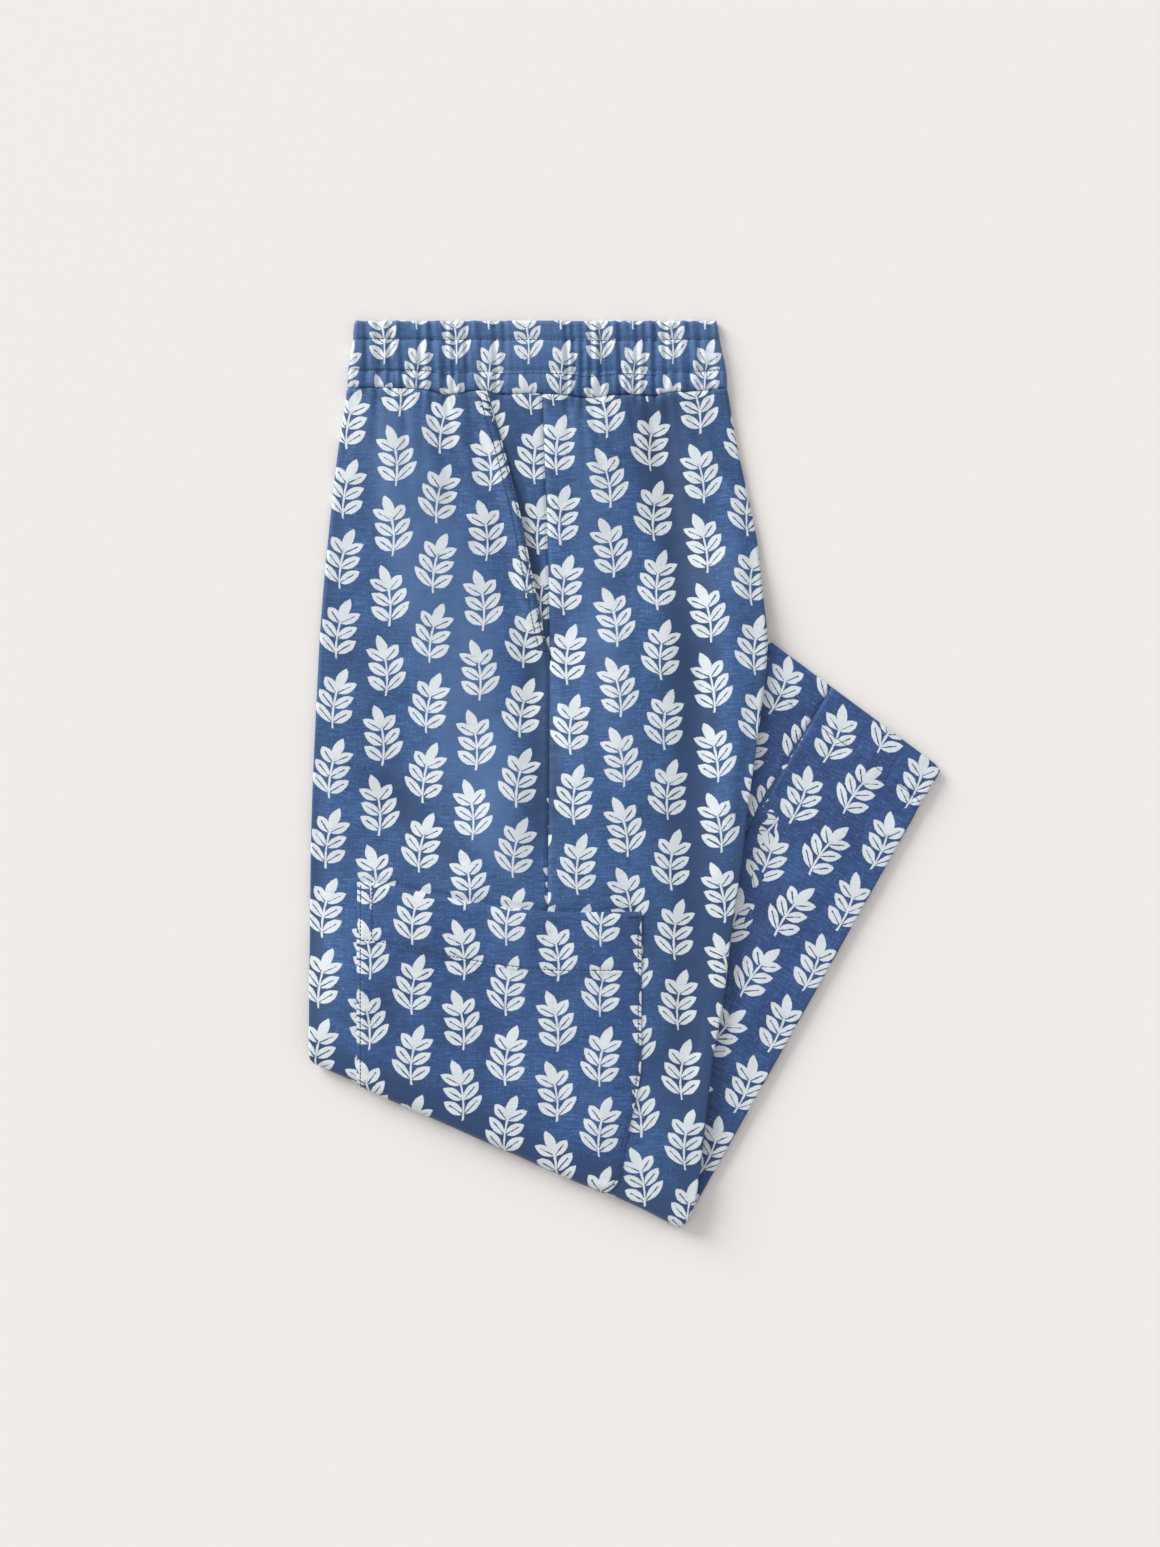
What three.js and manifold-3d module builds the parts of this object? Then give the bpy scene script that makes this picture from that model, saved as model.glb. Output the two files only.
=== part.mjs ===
// Linen trousers with an elastic waist and a cargo pocket, folded leg on leg and then once at the knee.
// Millimetres, +Z up. The trousers lie on the plane z = 0 with the waist towards +Y.
// The origin is the middle of the folded garment's box, on its underside.
import * as THREE from 'three';
import Module from 'manifold-3d';
import { mergeVertices } from 'three/addons/utils/BufferGeometryUtils.js';

const { smoothstep, lerp, clamp, degToRad } = THREE.MathUtils;

// Driving sizes
const FOLDED_LENGTH = 680;
const WAIST_Y = FOLDED_LENGTH / 2;
const CLOTH = 1;
const SEAM_GAP = 0.3;
const WAIST_SEAM_GAP = 0.6;
const UNDER_GAP = 0.5;
const UPPER_STACK = 7; // two leg tubes, one on the other
const LOWER_STACK = 6; // the same two tubes below the knee, pressed flatter
const REST_GAP = 0.6; // between the two stacks
const BAND_WALL = 2.4;
const CROTCH_DOWN = 300; // the tubes part here, below the waist's top edge
const POCKET_CLOTH = 1;
const HEM_RAISE = 0.45; // doubled cloth of the leg hem
const POCKET_HEM_RAISE = 0.7;
const SEAM_ROLL = 0.45; // cloth dips this much into each seam

// How softly the upper stack comes down beside the hidden lower legs: over their side and over their hem
const BRIDGE = { side: 90, hem: 60 };
// How soft folds end: beyond their line, at the side edges, at the knee and under the waist seam
const FADE = { pastEnd: 2.2, edge: [2, 15], knee: [4, 40], seam: [0, 25], gather: 8 };
// The folded half is plump: it rises over this length, and rounds off towards its edges and the knee
const PILLOW = { height: 1.5, down: [330, 450], edge: [0, 18], knee: [0, 24] };

// The knee fold: a slanted line, with the left leg's cloth wrapped round the whole stack
const KNEE_RADIUS = (UPPER_STACK + LOWER_STACK + REST_GAP) / 2;
const KNEE = { x: -237, down: 556.5, slope: degToRad(23.8), radius: KNEE_RADIUS };
const KNEE_WRAP_END = degToRad(160);
const POCKET_WRAP_END = degToRad(138);

// Waistband: distances below its top edge
const HEADER_DEPTH = 13.5;
const CHANNEL_END = 37.5;
const BAND_DEPTH = 52;

// The lower legs lie under the upper ones. Their visible side edge runs from the knee to the hem.
const SHIN = { x: 44.2, y: -340.1, heading: new THREE.Vector2(0.4902, 0.8716), length: 394.4 };
const SHIN_HEM_SLANT = 0.1267;
const SHIN_SEAM = { inset: 105.1, taper: -0.0236, from: 275.6 };
const HEM_DEPTH = 31;
const HIDDEN_HEM_CORNER = new THREE.Vector2(78.8, 121.1);

// Outline of the upper leg by distance below the waist: side edges and side seam
const outline = [
  { down: 0, left: -203.3, seam: -63.8, right: 69 },
  { down: 22, left: -205.6, seam: -63.2, right: 73 },
  { down: 38, left: -208.3, seam: -62.7, right: 76.4 },
  { down: 52, left: -208.8, seam: -62.2, right: 77.3 },
  { down: 102, left: -216.4, seam: -60.4, right: 86.3 },
  { down: 162, left: -223.1, seam: -58.1, right: 99 },
  { down: 207, left: -227.3, seam: -57, right: 103.9 },
  { down: 244, left: -229.9, seam: -56.6, right: 107 },
  { down: 297, left: -232.5, seam: -57, right: 101.6 },
  { down: 360, left: -235.1, seam: -57, right: 93 },
  { down: 410, left: -236.3, seam: -57.8, right: 87 },
  { down: 461, left: -236.7, seam: -58.1, right: 79.5 },
  { down: 507, left: -237, seam: -58.5, right: 74.3 },
  { down: 549, left: -237, seam: -58.5, right: 66.8 },
  { down: 592, left: -237, seam: -58.5, right: 61.5 },
  { down: 655, left: -237, seam: -58.5, right: 54 },
  { down: 668, left: -237, seam: -58.5, right: 50.5 },
  { down: 680, left: -237, seam: -58.5, right: 44.3 },
];

// Height of the upper stack over what it lies on
const stackHeight = [
  { down: 0, height: 7.2 },
  { down: 45, height: 7.4 },
  { down: 58, height: 6.6 },
  { down: 100, height: 6 },
  { down: 220, height: 5.9 },
  { down: 300, height: 6.5 },
  { down: 350, height: UPPER_STACK },
  { down: 700, height: UPPER_STACK },
];

// The wavy seam under the waistband
const waistSeam = [
  { x: -212, down: 50 },
  { x: -172, down: 50.2 },
  { x: -148, down: 51.8 },
  { x: -135, down: 55.5 },
  { x: -120, down: 53.2 },
  { x: -104, down: 52.3 },
  { x: -94, down: 55 },
  { x: -71, down: 54.2 },
  { x: -44, down: 55.5 },
  { x: -29, down: 57.7 },
  { x: -8, down: 55.4 },
  { x: 4, down: 55 },
  { x: 21, down: 56.2 },
  { x: 34, down: 53.2 },
  { x: 47, down: 53 },
  { x: 80, down: 49.9 },
];

// The slanted edge of the front pocket, from the waist seam to the side seam
const slantEdge = [
  { down: 50, x: -104.6 },
  { down: 64, x: -100.4 },
  { down: 90, x: -92.7 },
  { down: 120, x: -84.9 },
  { down: 149, x: -78 },
  { down: 183, x: -71.4 },
  { down: 212, x: -65.6 },
  { down: 236, x: -60.7 },
  { down: 249, x: -56.9 },
];

// Gathers on the elastic: place across, depth, half-width, how far each runs below the seam, and its lean
const gathers = [
  { x: -195, depth: 1.1, wide: 3, runs: 0, lean: 0 },
  { x: -185, depth: 1.4, wide: 2.6, runs: 52, lean: -4 },
  { x: -176, depth: 0.9, wide: 2.4, runs: 0, lean: 0 },
  { x: -167, depth: 1.5, wide: 2.2, runs: 95, lean: 4 },
  { x: -161.5, depth: 1.1, wide: 2, runs: 0, lean: 0 },
  { x: -154, depth: 1.3, wide: 2.4, runs: 60, lean: 2 },
  { x: -145, depth: 1.2, wide: 2.4, runs: 30, lean: 0 },
  { x: -135.5, depth: 1.6, wide: 2.2, runs: 110, lean: 12 },
  { x: -129, depth: 1.2, wide: 2, runs: 0, lean: 0 },
  { x: -119, depth: 1.3, wide: 2.6, runs: 70, lean: 8 },
  { x: -108, depth: 1, wide: 2.4, runs: 25, lean: 0 },
  { x: -97, depth: 1.5, wide: 2.4, runs: 60, lean: 10 },
  { x: -91, depth: 0.9, wide: 2, runs: 0, lean: 0 },
  { x: -44, depth: 1.6, wide: 2.2, runs: 85, lean: 4 },
  { x: -38.5, depth: 1.2, wide: 2, runs: 0, lean: 0 },
  { x: -32.5, depth: 1.5, wide: 2.2, runs: 55, lean: 3 },
  { x: -26, depth: 1.4, wide: 2.2, runs: 105, lean: 10 },
  { x: -18.5, depth: 1.5, wide: 2.3, runs: 0, lean: 0 },
  { x: -11, depth: 1.1, wide: 2.2, runs: 40, lean: 5 },
  { x: -3.8, depth: 1.3, wide: 2.2, runs: 0, lean: 0 },
  { x: 2.5, depth: 1.2, wide: 2, runs: 75, lean: 10 },
  { x: 8.5, depth: 1.2, wide: 2, runs: 0, lean: 0 },
  { x: 15, depth: 1.4, wide: 2.2, runs: 120, lean: 16 },
  { x: 22.5, depth: 1.2, wide: 2.2, runs: 0, lean: 0 },
  { x: 30, depth: 1.4, wide: 2.4, runs: 60, lean: 8 },
  { x: 39, depth: 1.1, wide: 2.4, runs: 35, lean: 6 },
  { x: 48.5, depth: 1.2, wide: 2.6, runs: 70, lean: 10 },
  { x: 56.5, depth: 1, wide: 2.6, runs: 0, lean: 0 },
  { x: 64, depth: 1.1, wide: 2.6, runs: 45, lean: 6 },
];

// The largest soft folds of the leg: a line on the cloth, a half-width and a height, negative for a trough
const legFolds = [
  { name: 'front ridge', x: [-152, -94], down: [125, 385], wide: 42, height: 4.2 },
  { name: 'front upper ridge', x: [-186, -160], down: [70, 190], wide: 18, height: 1.3 },
  { name: 'crease by the pocket', x: [-143, -128], down: [60, 140], wide: 9, height: -1.8 },
  { name: 'valley by the side seam', x: [-63, -62], down: [270, 385], wide: 16, height: -3.6 },
  { name: 'back ridge', x: [-30, -4], down: [95, 310], wide: 25, height: 2.8 },
  { name: 'back valley', x: [22, 52], down: [66, 250], wide: 14, height: -3.2 },
  { name: 'long back valley', x: [53, 50], down: [265, 560], wide: 16, height: -3 },
  { name: 'edge ridge', x: [84, 80], down: [130, 360], wide: 14, height: 2 },
  { name: 'crease over the pocket', x: [-165, -104], down: [366, 420], wide: 14, height: -2.4 },
  { name: 'slanted back ridge', x: [-52, -14], down: [275, 405], wide: 10, height: 1.8 },
  { name: 'pocket swell', x: [-42, -30], down: [540, 640], wide: 34, height: 2 },
  { name: 'left swell', x: [-205, -200], down: [300, 480], wide: 22, height: 0.9 },
];

// The largest soft folds below the knee, by distance along the shin and inward from its edge
const shinFolds = [
  { name: 'shadow by the upper leg', along: [90, 300], inset: [34, 92], wide: 14, height: -1.1 },
  { name: 'shin ridge', along: [120, 370], inset: [38, 48], wide: 16, height: 1.3 },
  { name: 'dip above the hem', along: [352, 350], inset: [30, 80], wide: 12, height: -1.1 },
];

// Cargo pocket: its place on the cloth, before the knee is folded
const POCKET = { left: -200.4, right: 12, hem: 45, bottom: 656, corner: 22 };
const POCKET_LEAN = { from: 552, to: 640, by: -14 }; // its right side leans in towards the knee
const pocketTop = [
  { x: -202, down: 421.5 },
  { x: -186, down: 422.3 },
  { x: -142, down: 431.2 },
  { x: -114, down: 436.5 },
  { x: -86, down: 440.6 },
  { x: -49, down: 444 },
  { x: -19, down: 444 },
  { x: 14, down: 443.6 },
];

// Reads one column of a table at a place given by another column, along a smooth curve
function read(table, by, column, at) {
  const last = table.length - 1;
  const here = clamp(at, table[0][by], table[last][by]);
  const k = clamp(table.findIndex((row) => row[by] > here) - 1, 0, last - 1);
  const i = table[last][by] <= here ? last - 1 : k;
  const slope = (n) => {
    const a = table[Math.max(n - 1, 0)];
    const b = table[Math.min(n + 1, last)];
    return (b[column] - a[column]) / (b[by] - a[by]);
  };
  const span = table[i + 1][by] - table[i][by];
  const t = (here - table[i][by]) / span;
  const [p, q] = [table[i][column], table[i + 1][column]];
  const [m, n] = [slope(i) * span, slope(i + 1) * span];
  return (2 * t ** 3 - 3 * t ** 2 + 1) * p + (t ** 3 - 2 * t ** 2 + t) * m
    + (3 * t ** 2 - 2 * t ** 3) * q + (t ** 3 - t ** 2) * n;
}

const edgeAt = (side, down) => read(outline, 'down', side, down);
const seamDownAt = (x) => read(waistSeam, 'x', 'down', x);
const bell = (value) => Math.exp(-value * value);

// Height of a soft fold at a point, given the fold's ends as [from, to] in two named directions
function foldAt(fold, a, b, names) {
  const [a0, a1] = fold[names[0]];
  const [b0, b1] = fold[names[1]];
  const length = Math.hypot(a1 - a0, b1 - b0);
  const along = ((a - a0) * (a1 - a0) + (b - b0) * (b1 - b0)) / length;
  const off = ((a - a0) * (b1 - b0) - (b - b0) * (a1 - a0)) / length;
  const past = Math.max(0, -along, along - length);
  return fold.height * bell(off / fold.wide) * bell(past / (fold.wide * FADE.pastEnd));
}

// How far a point of the plan lies outside the hidden lower legs, whose stack lifts what lies on it
const kneeCorner = new THREE.Vector2(KNEE.x, WAIST_Y - KNEE.down);
const shinHemCorner = SHIN.heading.clone().multiplyScalar(SHIN.length).add(new THREE.Vector2(SHIN.x, SHIN.y));
function outside(from, to, x, y) {
  const way = to.clone().sub(from).normalize();
  return (x - from.x) * way.y * -1 + (y - from.y) * way.x;
}
function liftBelow(x, down) {
  const y = WAIST_Y - down;
  const overSide = outside(kneeCorner, HIDDEN_HEM_CORNER, x, y);
  const overHem = outside(HIDDEN_HEM_CORNER, shinHemCorner, x, y);
  const onSide = 1 - smoothstep(overSide, 2, BRIDGE.side);
  const onHem = 1 - smoothstep(overHem, 1, BRIDGE.hem);
  return (LOWER_STACK + REST_GAP) * onSide * onHem;
}

// The leg's rounded side edge: one fold of the whole stack above the crotch, the upper tube alone below it
const inLegs = (down) => smoothstep(down, CROTCH_DOWN - 30, CROTCH_DOWN + 15);
function edgeRadius(down) {
  const height = read(stackHeight, 'down', 'height', down);
  return lerp(height / 2, height / 4, inLegs(down));
}
const edgeTurn = (down) => degToRad(lerp(162, 180, inLegs(down)));

// Soft folds and gathers, fading out at the side edges and at the knee
function relief(x, down) {
  const toEdge = Math.min(x - edgeAt('left', down), edgeAt('right', down) - x);
  const toKnee = kneeTangentDown(x) - down;
  const below = Math.max(0, down - seamDownAt(x));
  let height = 0;
  for (const fold of legFolds) {
    height += foldAt(fold, x, down, ['x', 'down']) * smoothstep(below, ...FADE.seam);
  }
  for (const one of gathers) {
    const run = bell(below / (one.runs || FADE.gather)) * (one.runs ? 0.75 : 1);
    const wide = one.wide * (1 + below / 60);
    height -= one.depth * run * bell((x - one.x - (one.lean * below) / 60) / wide);
  }
  const rounded = smoothstep(toEdge, ...PILLOW.edge) * smoothstep(toKnee, ...PILLOW.knee);
  const pillow = PILLOW.height * smoothstep(down, ...PILLOW.down) * rounded;
  return height * smoothstep(toEdge, ...FADE.edge) * smoothstep(toKnee, ...FADE.knee) + pillow;
}

function crown(x, down) {
  return liftBelow(x, down) + read(stackHeight, 'down', 'height', down) + relief(x, down);
}

// Where the cloth starts to turn round the knee fold, below a place across the leg
function kneeTangentDown(x) {
  return KNEE.down + ((x - KNEE.x) * Math.sin(KNEE.slope) - KNEE.radius) / Math.cos(KNEE.slope);
}

// Lays a point of the left leg's flat cloth on the folded stack. Past a side edge or the knee line it turns.
// lift is its height over the cloth's outer face, puff an extra swelling of that face.
function onLeg(x, down, lift, puff = 0) {
  const radius = edgeRadius(down);
  const [left, right] = [edgeAt('left', down) + radius, edgeAt('right', down) - radius];
  const turn = Math.max(left - x, x - right, 0) / radius;
  const side = x < left ? -1 : 1;
  const reach = radius + lift;
  const planX = turn > 0 ? (side < 0 ? left : right) + side * reach * Math.sin(turn) : x;
  const over = turn > 0 ? reach * Math.cos(turn) - radius : lift;
  const past = (down - kneeTangentDown(planX)) * Math.cos(KNEE.slope);
  if (past <= 0) {
    return new THREE.Vector3(planX, WAIST_Y - down, crown(clamp(planX, left, right), down) + over + puff);
  }
  const bend = past / KNEE.radius;
  const outward = new THREE.Vector2(-Math.sin(KNEE.slope), -Math.cos(KNEE.slope));
  const out = (KNEE.radius + over + puff) * Math.sin(bend) - past;
  const z = KNEE.radius + (KNEE.radius + over + puff) * Math.cos(bend);
  return new THREE.Vector3(planX + outward.x * out, WAIST_Y - down + outward.y * out, z);
}

// Lays a point of the right leg's flat cloth below the knee, by distance along the shin and from its edge
function shinRelief(along, inset) {
  let height = 0;
  for (const fold of shinFolds) height += foldAt(fold, along, inset, ['along', 'inset']);
  const toEdge = Math.min(inset, borderInset(along) - inset);
  return height * smoothstep(toEdge, 3, 14);
}
const SHIN_RADIUS = LOWER_STACK / 4;
const shinInward = new THREE.Vector2(-SHIN.heading.y, SHIN.heading.x);
function shinPlan(along, inset) {
  const onEdge = new THREE.Vector2(SHIN.x, SHIN.y).addScaledVector(SHIN.heading, along);
  return onEdge.addScaledVector(shinInward, inset);
}
function onShin(along, inset, lift) {
  const turn = Math.max(SHIN_RADIUS - inset, 0) / SHIN_RADIUS;
  const reach = SHIN_RADIUS + lift;
  const planInset = turn > 0 ? SHIN_RADIUS - reach * Math.sin(turn) : inset;
  const over = turn > 0 ? reach * Math.cos(turn) - SHIN_RADIUS : lift;
  const plan = shinPlan(along, planInset);
  return new THREE.Vector3(plan.x, plan.y, LOWER_STACK + shinRelief(along, Math.max(inset, 0)) + over);
}
const hemAlong = (inset) => SHIN.length + SHIN_HEM_SLANT * inset - 1.5 * bell(inset / 4);
const shinSeamInset = (along) => SHIN_SEAM.inset + SHIN_SEAM.taper * (along - SHIN_SEAM.from);

// How far in from the shin's edge the upper leg's side edge crosses it
const BORDER_TUCK = 1.8;
function borderInset(along) {
  let [near, far] = [0, 260];
  for (let n = 0; n < 30; n += 1) {
    const middle = (near + far) / 2;
    const plan = shinPlan(along, middle);
    if (plan.x > edgeAt('right', WAIST_Y - plan.y) - BORDER_TUCK) near = middle;
    else far = middle;
  }
  return near;
}

// A closed mesh from points and triangles, with its faces turned outward
function solid(points, faces) {
  let volume = 0;
  for (const [a, b, c] of faces) volume += points[a].dot(points[b].clone().cross(points[c]));
  const order = volume < 0 ? faces.map(([a, b, c]) => [a, c, b]) : faces;
  const geometry = new THREE.BufferGeometry().setFromPoints(points);
  geometry.setIndex(order.flat());
  return geometry;
}

// A cloth wall: a grid of outer points over a plainer grid of inner ones that keeps only some columns
function wall(outer, inner, kept) {
  const points = [...outer.flat(), ...inner.flat()];
  const [rows, columns, plain] = [outer.length, outer[0].length, kept.length];
  const o = (row, column) => row * columns + column;
  const i = (row, column) => rows * columns + row * plain + column;
  const faces = [];
  const quad = (a, b, c, d) => faces.push([a, b, c], [a, c, d]);
  for (let row = 0; row < rows - 1; row += 1) {
    for (let c = 0; c < columns - 1; c += 1) quad(o(row, c), o(row, c + 1), o(row + 1, c + 1), o(row + 1, c));
    for (let c = 0; c < plain - 1; c += 1) quad(i(row, c), i(row + 1, c), i(row + 1, c + 1), i(row, c + 1));
    quad(o(row, 0), o(row + 1, 0), i(row + 1, 0), i(row, 0));
    quad(o(row, columns - 1), i(row, plain - 1), i(row + 1, plain - 1), o(row + 1, columns - 1));
  }
  for (const row of [0, rows - 1]) {
    const add = row === 0 ? (a, b, c) => faces.push([a, b, c]) : (a, b, c) => faces.push([a, c, b]);
    for (let c = 0; c < plain - 1; c += 1) {
      for (let n = kept[c]; n < kept[c + 1]; n += 1) add(i(row, c), o(row, n + 1), o(row, n));
      add(i(row, c), i(row, c + 1), o(row, kept[c + 1]));
    }
  }
  return solid(points, faces);
}

const steps = (count) => Array.from({ length: count + 1 }, (_, n) => n / count);
const everyFrom = (start, end, stride) => {
  const list = [];
  for (let n = start; n < end; n += stride) list.push(n);
  return [...list, end];
};

// Leg panels: columns run down the leg, rows lean from the waist seam to the knee fold
const rowShares = [
  0, 0.008, 0.03, 0.06, 0.1, 0.15, 0.21, 0.27, 0.315, 0.36, 0.42, 0.49, 0.56, 0.64, 0.72, 0.8, 0.87, 0.94, 1,
];
const legRows = [
  ...rowShares.map((share) => ({ share, turn: 0 })),
  ...[30, 60, 90, 120].map((degrees) => ({ share: 1, turn: degToRad(degrees) })),
  { share: 1, turn: KNEE_WRAP_END },
];

// Solves for the point where a row meets a column whose place depends on how far down it is
function meet(row, columnAt) {
  let down = 100;
  let x = 0;
  for (let n = 0; n < 12; n += 1) {
    x = columnAt(down);
    const top = seamDownAt(x) + WAIST_SEAM_GAP / 2;
    down = lerp(top, kneeTangentDown(x), row.share) + (row.turn * KNEE.radius) / Math.cos(KNEE.slope);
  }
  return { x, down };
}

const EDGE_STEPS = 4;
const FLAT_COLUMNS = 30;

// The columns of a leg panel, from its turned side edge to the line where it is sewn
function panelColumn(sideName, borderAt, index, down) {
  const side = sideName === 'left' ? -1 : 1;
  const radius = edgeRadius(down);
  const edge = edgeAt(sideName, down) - side * radius;
  if (index < EDGE_STEPS) return edge + side * radius * edgeTurn(down) * (1 - index / EDGE_STEPS);
  return lerp(edge, borderAt(down), (index - EDGE_STEPS) / FLAT_COLUMNS);
}
// The plain inner side keeps every third column, and all of them near the sewn line
const lastColumn = EDGE_STEPS + FLAT_COLUMNS;
const plainColumns = [
  ...everyFrom(EDGE_STEPS, lastColumn - 6, 3), ...everyFrom(lastColumn - 3, lastColumn, 1),
];
const innerColumns = [...everyFrom(0, EDGE_STEPS - 1, 1), ...plainColumns];

function panel(sideName, borderAt, raise) {
  const place = (row, index, lift) => {
    const { x, down } = meet(row, (at) => panelColumn(sideName, borderAt, index, at));
    const atSeam = index === lastColumn || row === legRows[0] ? -SEAM_ROLL : 0;
    return onLeg(x, down, lift + (lift === 0 ? atSeam : 0), raise(x, down));
  };
  const across = (columns) => (sideName === 'left' ? columns : [...columns].reverse());
  const all = across(everyFrom(0, lastColumn, 1));
  const inner = across(innerColumns);
  return wall(legRows.map((row) => all.map((index) => place(row, index, 0))),
    legRows.map((row) => inner.map((index) => place(row, index, -CLOTH))),
    inner.map((index) => all.indexOf(index)));
}

// The front panel's mouth edge stands over the facing, so it is raised along the slant
const MOUTH_RAISE = CLOTH + SEAM_GAP + 0.1;
const MOUTH_UNDER = 5;
const slantAt = (down) => read(slantEdge, 'down', 'x', down);
const mouthEnd = slantEdge[slantEdge.length - 1].down;
function frontBorder(down) {
  return down < mouthEnd ? slantAt(down) : edgeAt('seam', down) - SEAM_GAP / 2;
}
function mouthRaise(x, down) {
  const near = 1 - smoothstep(slantAt(down) - x, MOUTH_UNDER + 1.5, MOUTH_UNDER + 11);
  return MOUTH_RAISE * near * (1 - smoothstep(down, mouthEnd - 2, mouthEnd + 20));
}
const backBorder = (down) => edgeAt('seam', down) + SEAM_GAP / 2;
const leftFront = () => panel('left', frontBorder, mouthRaise);
const leftBack = () => panel('right', backBorder, () => 0);

// A wall laid on the leg from a grid of flat places, each with its outer and inner lift
function laid(grid, outerLift, innerLift) {
  const kept = grid[0].map((_, index) => index);
  return wall(grid.map((row, r) => row.map((at, c) => onLeg(at.x, at.down, outerLift(r, c)))),
    grid.map((row, r) => row.map((at, c) => onLeg(at.x, at.down, innerLift(r, c)))), kept);
}

// The facing fills the mouth from under the front panel's edge to the side seam
function pocketFacing() {
  const columns = 7;
  const rows = legRows.filter((row) => row.share < 0.33);
  const grid = rows.map((row) => steps(columns).map((across) => meet(row,
    (down) => lerp(slantAt(down) - MOUTH_UNDER, edgeAt('seam', down) - SEAM_GAP / 2, across))));
  return laid(grid, (r, c) => (r === 0 || c === columns ? -SEAM_ROLL : 0), () => -CLOTH);
}

// The cargo pocket follows both panels and the knee fold, and its hem is doubled cloth
function cargoPocket() {
  const across = [0, 0.008, ...everyFrom(1, 18, 1).map((n) => n / 20), 0.93, 0.955, 0.977, 0.992, 1];
  const hemRows = [0, 1.5, 14, 29, POCKET.hem - 1.5, POCKET.hem + 1.5];
  const bodyRows = [0.12, 0.26, 0.4, 0.54, 0.68, 0.84];
  const footRows = [0, 0.2, 0.4, 0.6, 0.8, 1];
  const wrapEnd = (KNEE.radius * POCKET_WRAP_END) / Math.cos(KNEE.slope);
  const topAt = (x) => read(pocketTop, 'x', 'down', x);
  const bodyTopAt = (x) => topAt(x) + hemRows[hemRows.length - 1];
  const footAt = (x) => {
    const intoCorner = Math.max(0, x - (POCKET.right + POCKET_LEAN.by - POCKET.corner)) / POCKET.corner;
    const cut = POCKET.bottom - POCKET.corner * (1 - Math.sqrt(Math.max(0, 1 - intoCorner ** 2)));
    return Math.min(cut, kneeTangentDown(x) + wrapEnd);
  };
  const bodyEndAt = (x) => Math.min(kneeTangentDown(x), footAt(x) - 4);
  const row = (downAt) => across.map((share) => {
    let [x, down] = [0, POCKET_LEAN.from];
    for (let n = 0; n < 10; n += 1) {
      const lean = POCKET_LEAN.by * smoothstep(down, POCKET_LEAN.from, POCKET_LEAN.to);
      x = lerp(POCKET.left, POCKET.right + lean, share);
      down = downAt(x);
    }
    return { x, down };
  });
  const grid = [
    ...hemRows.map((depth) => row((x) => topAt(x) + depth)),
    ...bodyRows.map((share) => row((x) => lerp(bodyTopAt(x), bodyEndAt(x), share))),
    ...footRows.map((share) => row((x) => lerp(bodyEndAt(x), footAt(x), share))),
  ];
  const ends = { row: grid.length - 1, column: across.length - 1 };
  const under = UNDER_GAP + 0.1;
  const hemLift = (r) => (r > 0 && r < hemRows.length - 1 ? POCKET_HEM_RAISE : 0);
  const rim = (r, c) => (r === 0 || r === ends.row || c === 0 || c === ends.column ? -SEAM_ROLL : 0);
  return laid(grid, (r, c) => under + POCKET_CLOTH + hemLift(r) + rim(r, c), () => under);
}

// Waistband: both halves run to the middle of the side folds. Each line of stitches draws it in.
const bandRows = [0, 1.2, 6.5, HEADER_DEPTH - 1.1, HEADER_DEPTH + 1.1, 19.5, 25.5, 31.5,
  CHANNEL_END - 1.1, CHANNEL_END + 1.1, 45];
const ruffle = (x) => gathers.reduce((sum, one) => sum + one.depth * bell((x - one.x) / (one.wide * 1.3)), 0);
const EDGE_WAVE = 0.35; // how far each gather draws in the top edge, as a share of its depth
const HEADER_CLOSED = 4; // the header's swelling starts this far before its folded top edge
const STITCH_DIP = 0.2;
const arch = (at, from, to) => Math.sin((Math.PI * (at - from)) / (to - from));
function bandPuff(down, bottom) {
  if (down < HEADER_DEPTH) return 0.7 * arch(down, -HEADER_CLOSED, HEADER_DEPTH) - STITCH_DIP;
  if (down < CHANNEL_END) return 1.1 * arch(down, HEADER_DEPTH, CHANNEL_END) - STITCH_DIP;
  return 0.6 * arch(down, CHANNEL_END, bottom) - STITCH_DIP;
}
const BAND_TURN = degToRad(85);
function bandColumn(index, flatColumns, down) {
  const radius = edgeRadius(down);
  const [left, right] = [edgeAt('left', down) + radius, edgeAt('right', down) - radius];
  const last = flatColumns + 2 * EDGE_STEPS;
  if (index < EDGE_STEPS) return left - radius * BAND_TURN * (1 - index / EDGE_STEPS);
  if (index > last - EDGE_STEPS) return right + radius * BAND_TURN * (1 - (last - index) / EDGE_STEPS);
  return lerp(left, right, (index - EDGE_STEPS) / flatColumns);
}
function bandPlaces(flatColumns, rows, bottomAt) {
  return rows.map((depth) => steps(flatColumns + 2 * EDGE_STEPS).map((_, index) => {
    let [x, down] = [0, 50];
    for (let n = 0; n < 8; n += 1) {
      x = bandColumn(index, flatColumns, down);
      down = depth === 'seam' ? bottomAt(x) : depth * (bottomAt(x) / BAND_DEPTH);
    }
    const edgeWave = depth === 0 ? EDGE_WAVE * ruffle(x) : 0;
    return { x, down: down + edgeWave };
  }));
}
const BAND_COLUMNS = 93;
const PLAIN_SHARE = 0.8; // of the gathers, left out of the band's inner face
const PLAIN_DROP = 0.15;
const reliefInside = (x, down) => relief(clamp(x, edgeAt('left', down), edgeAt('right', down)), down);
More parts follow.
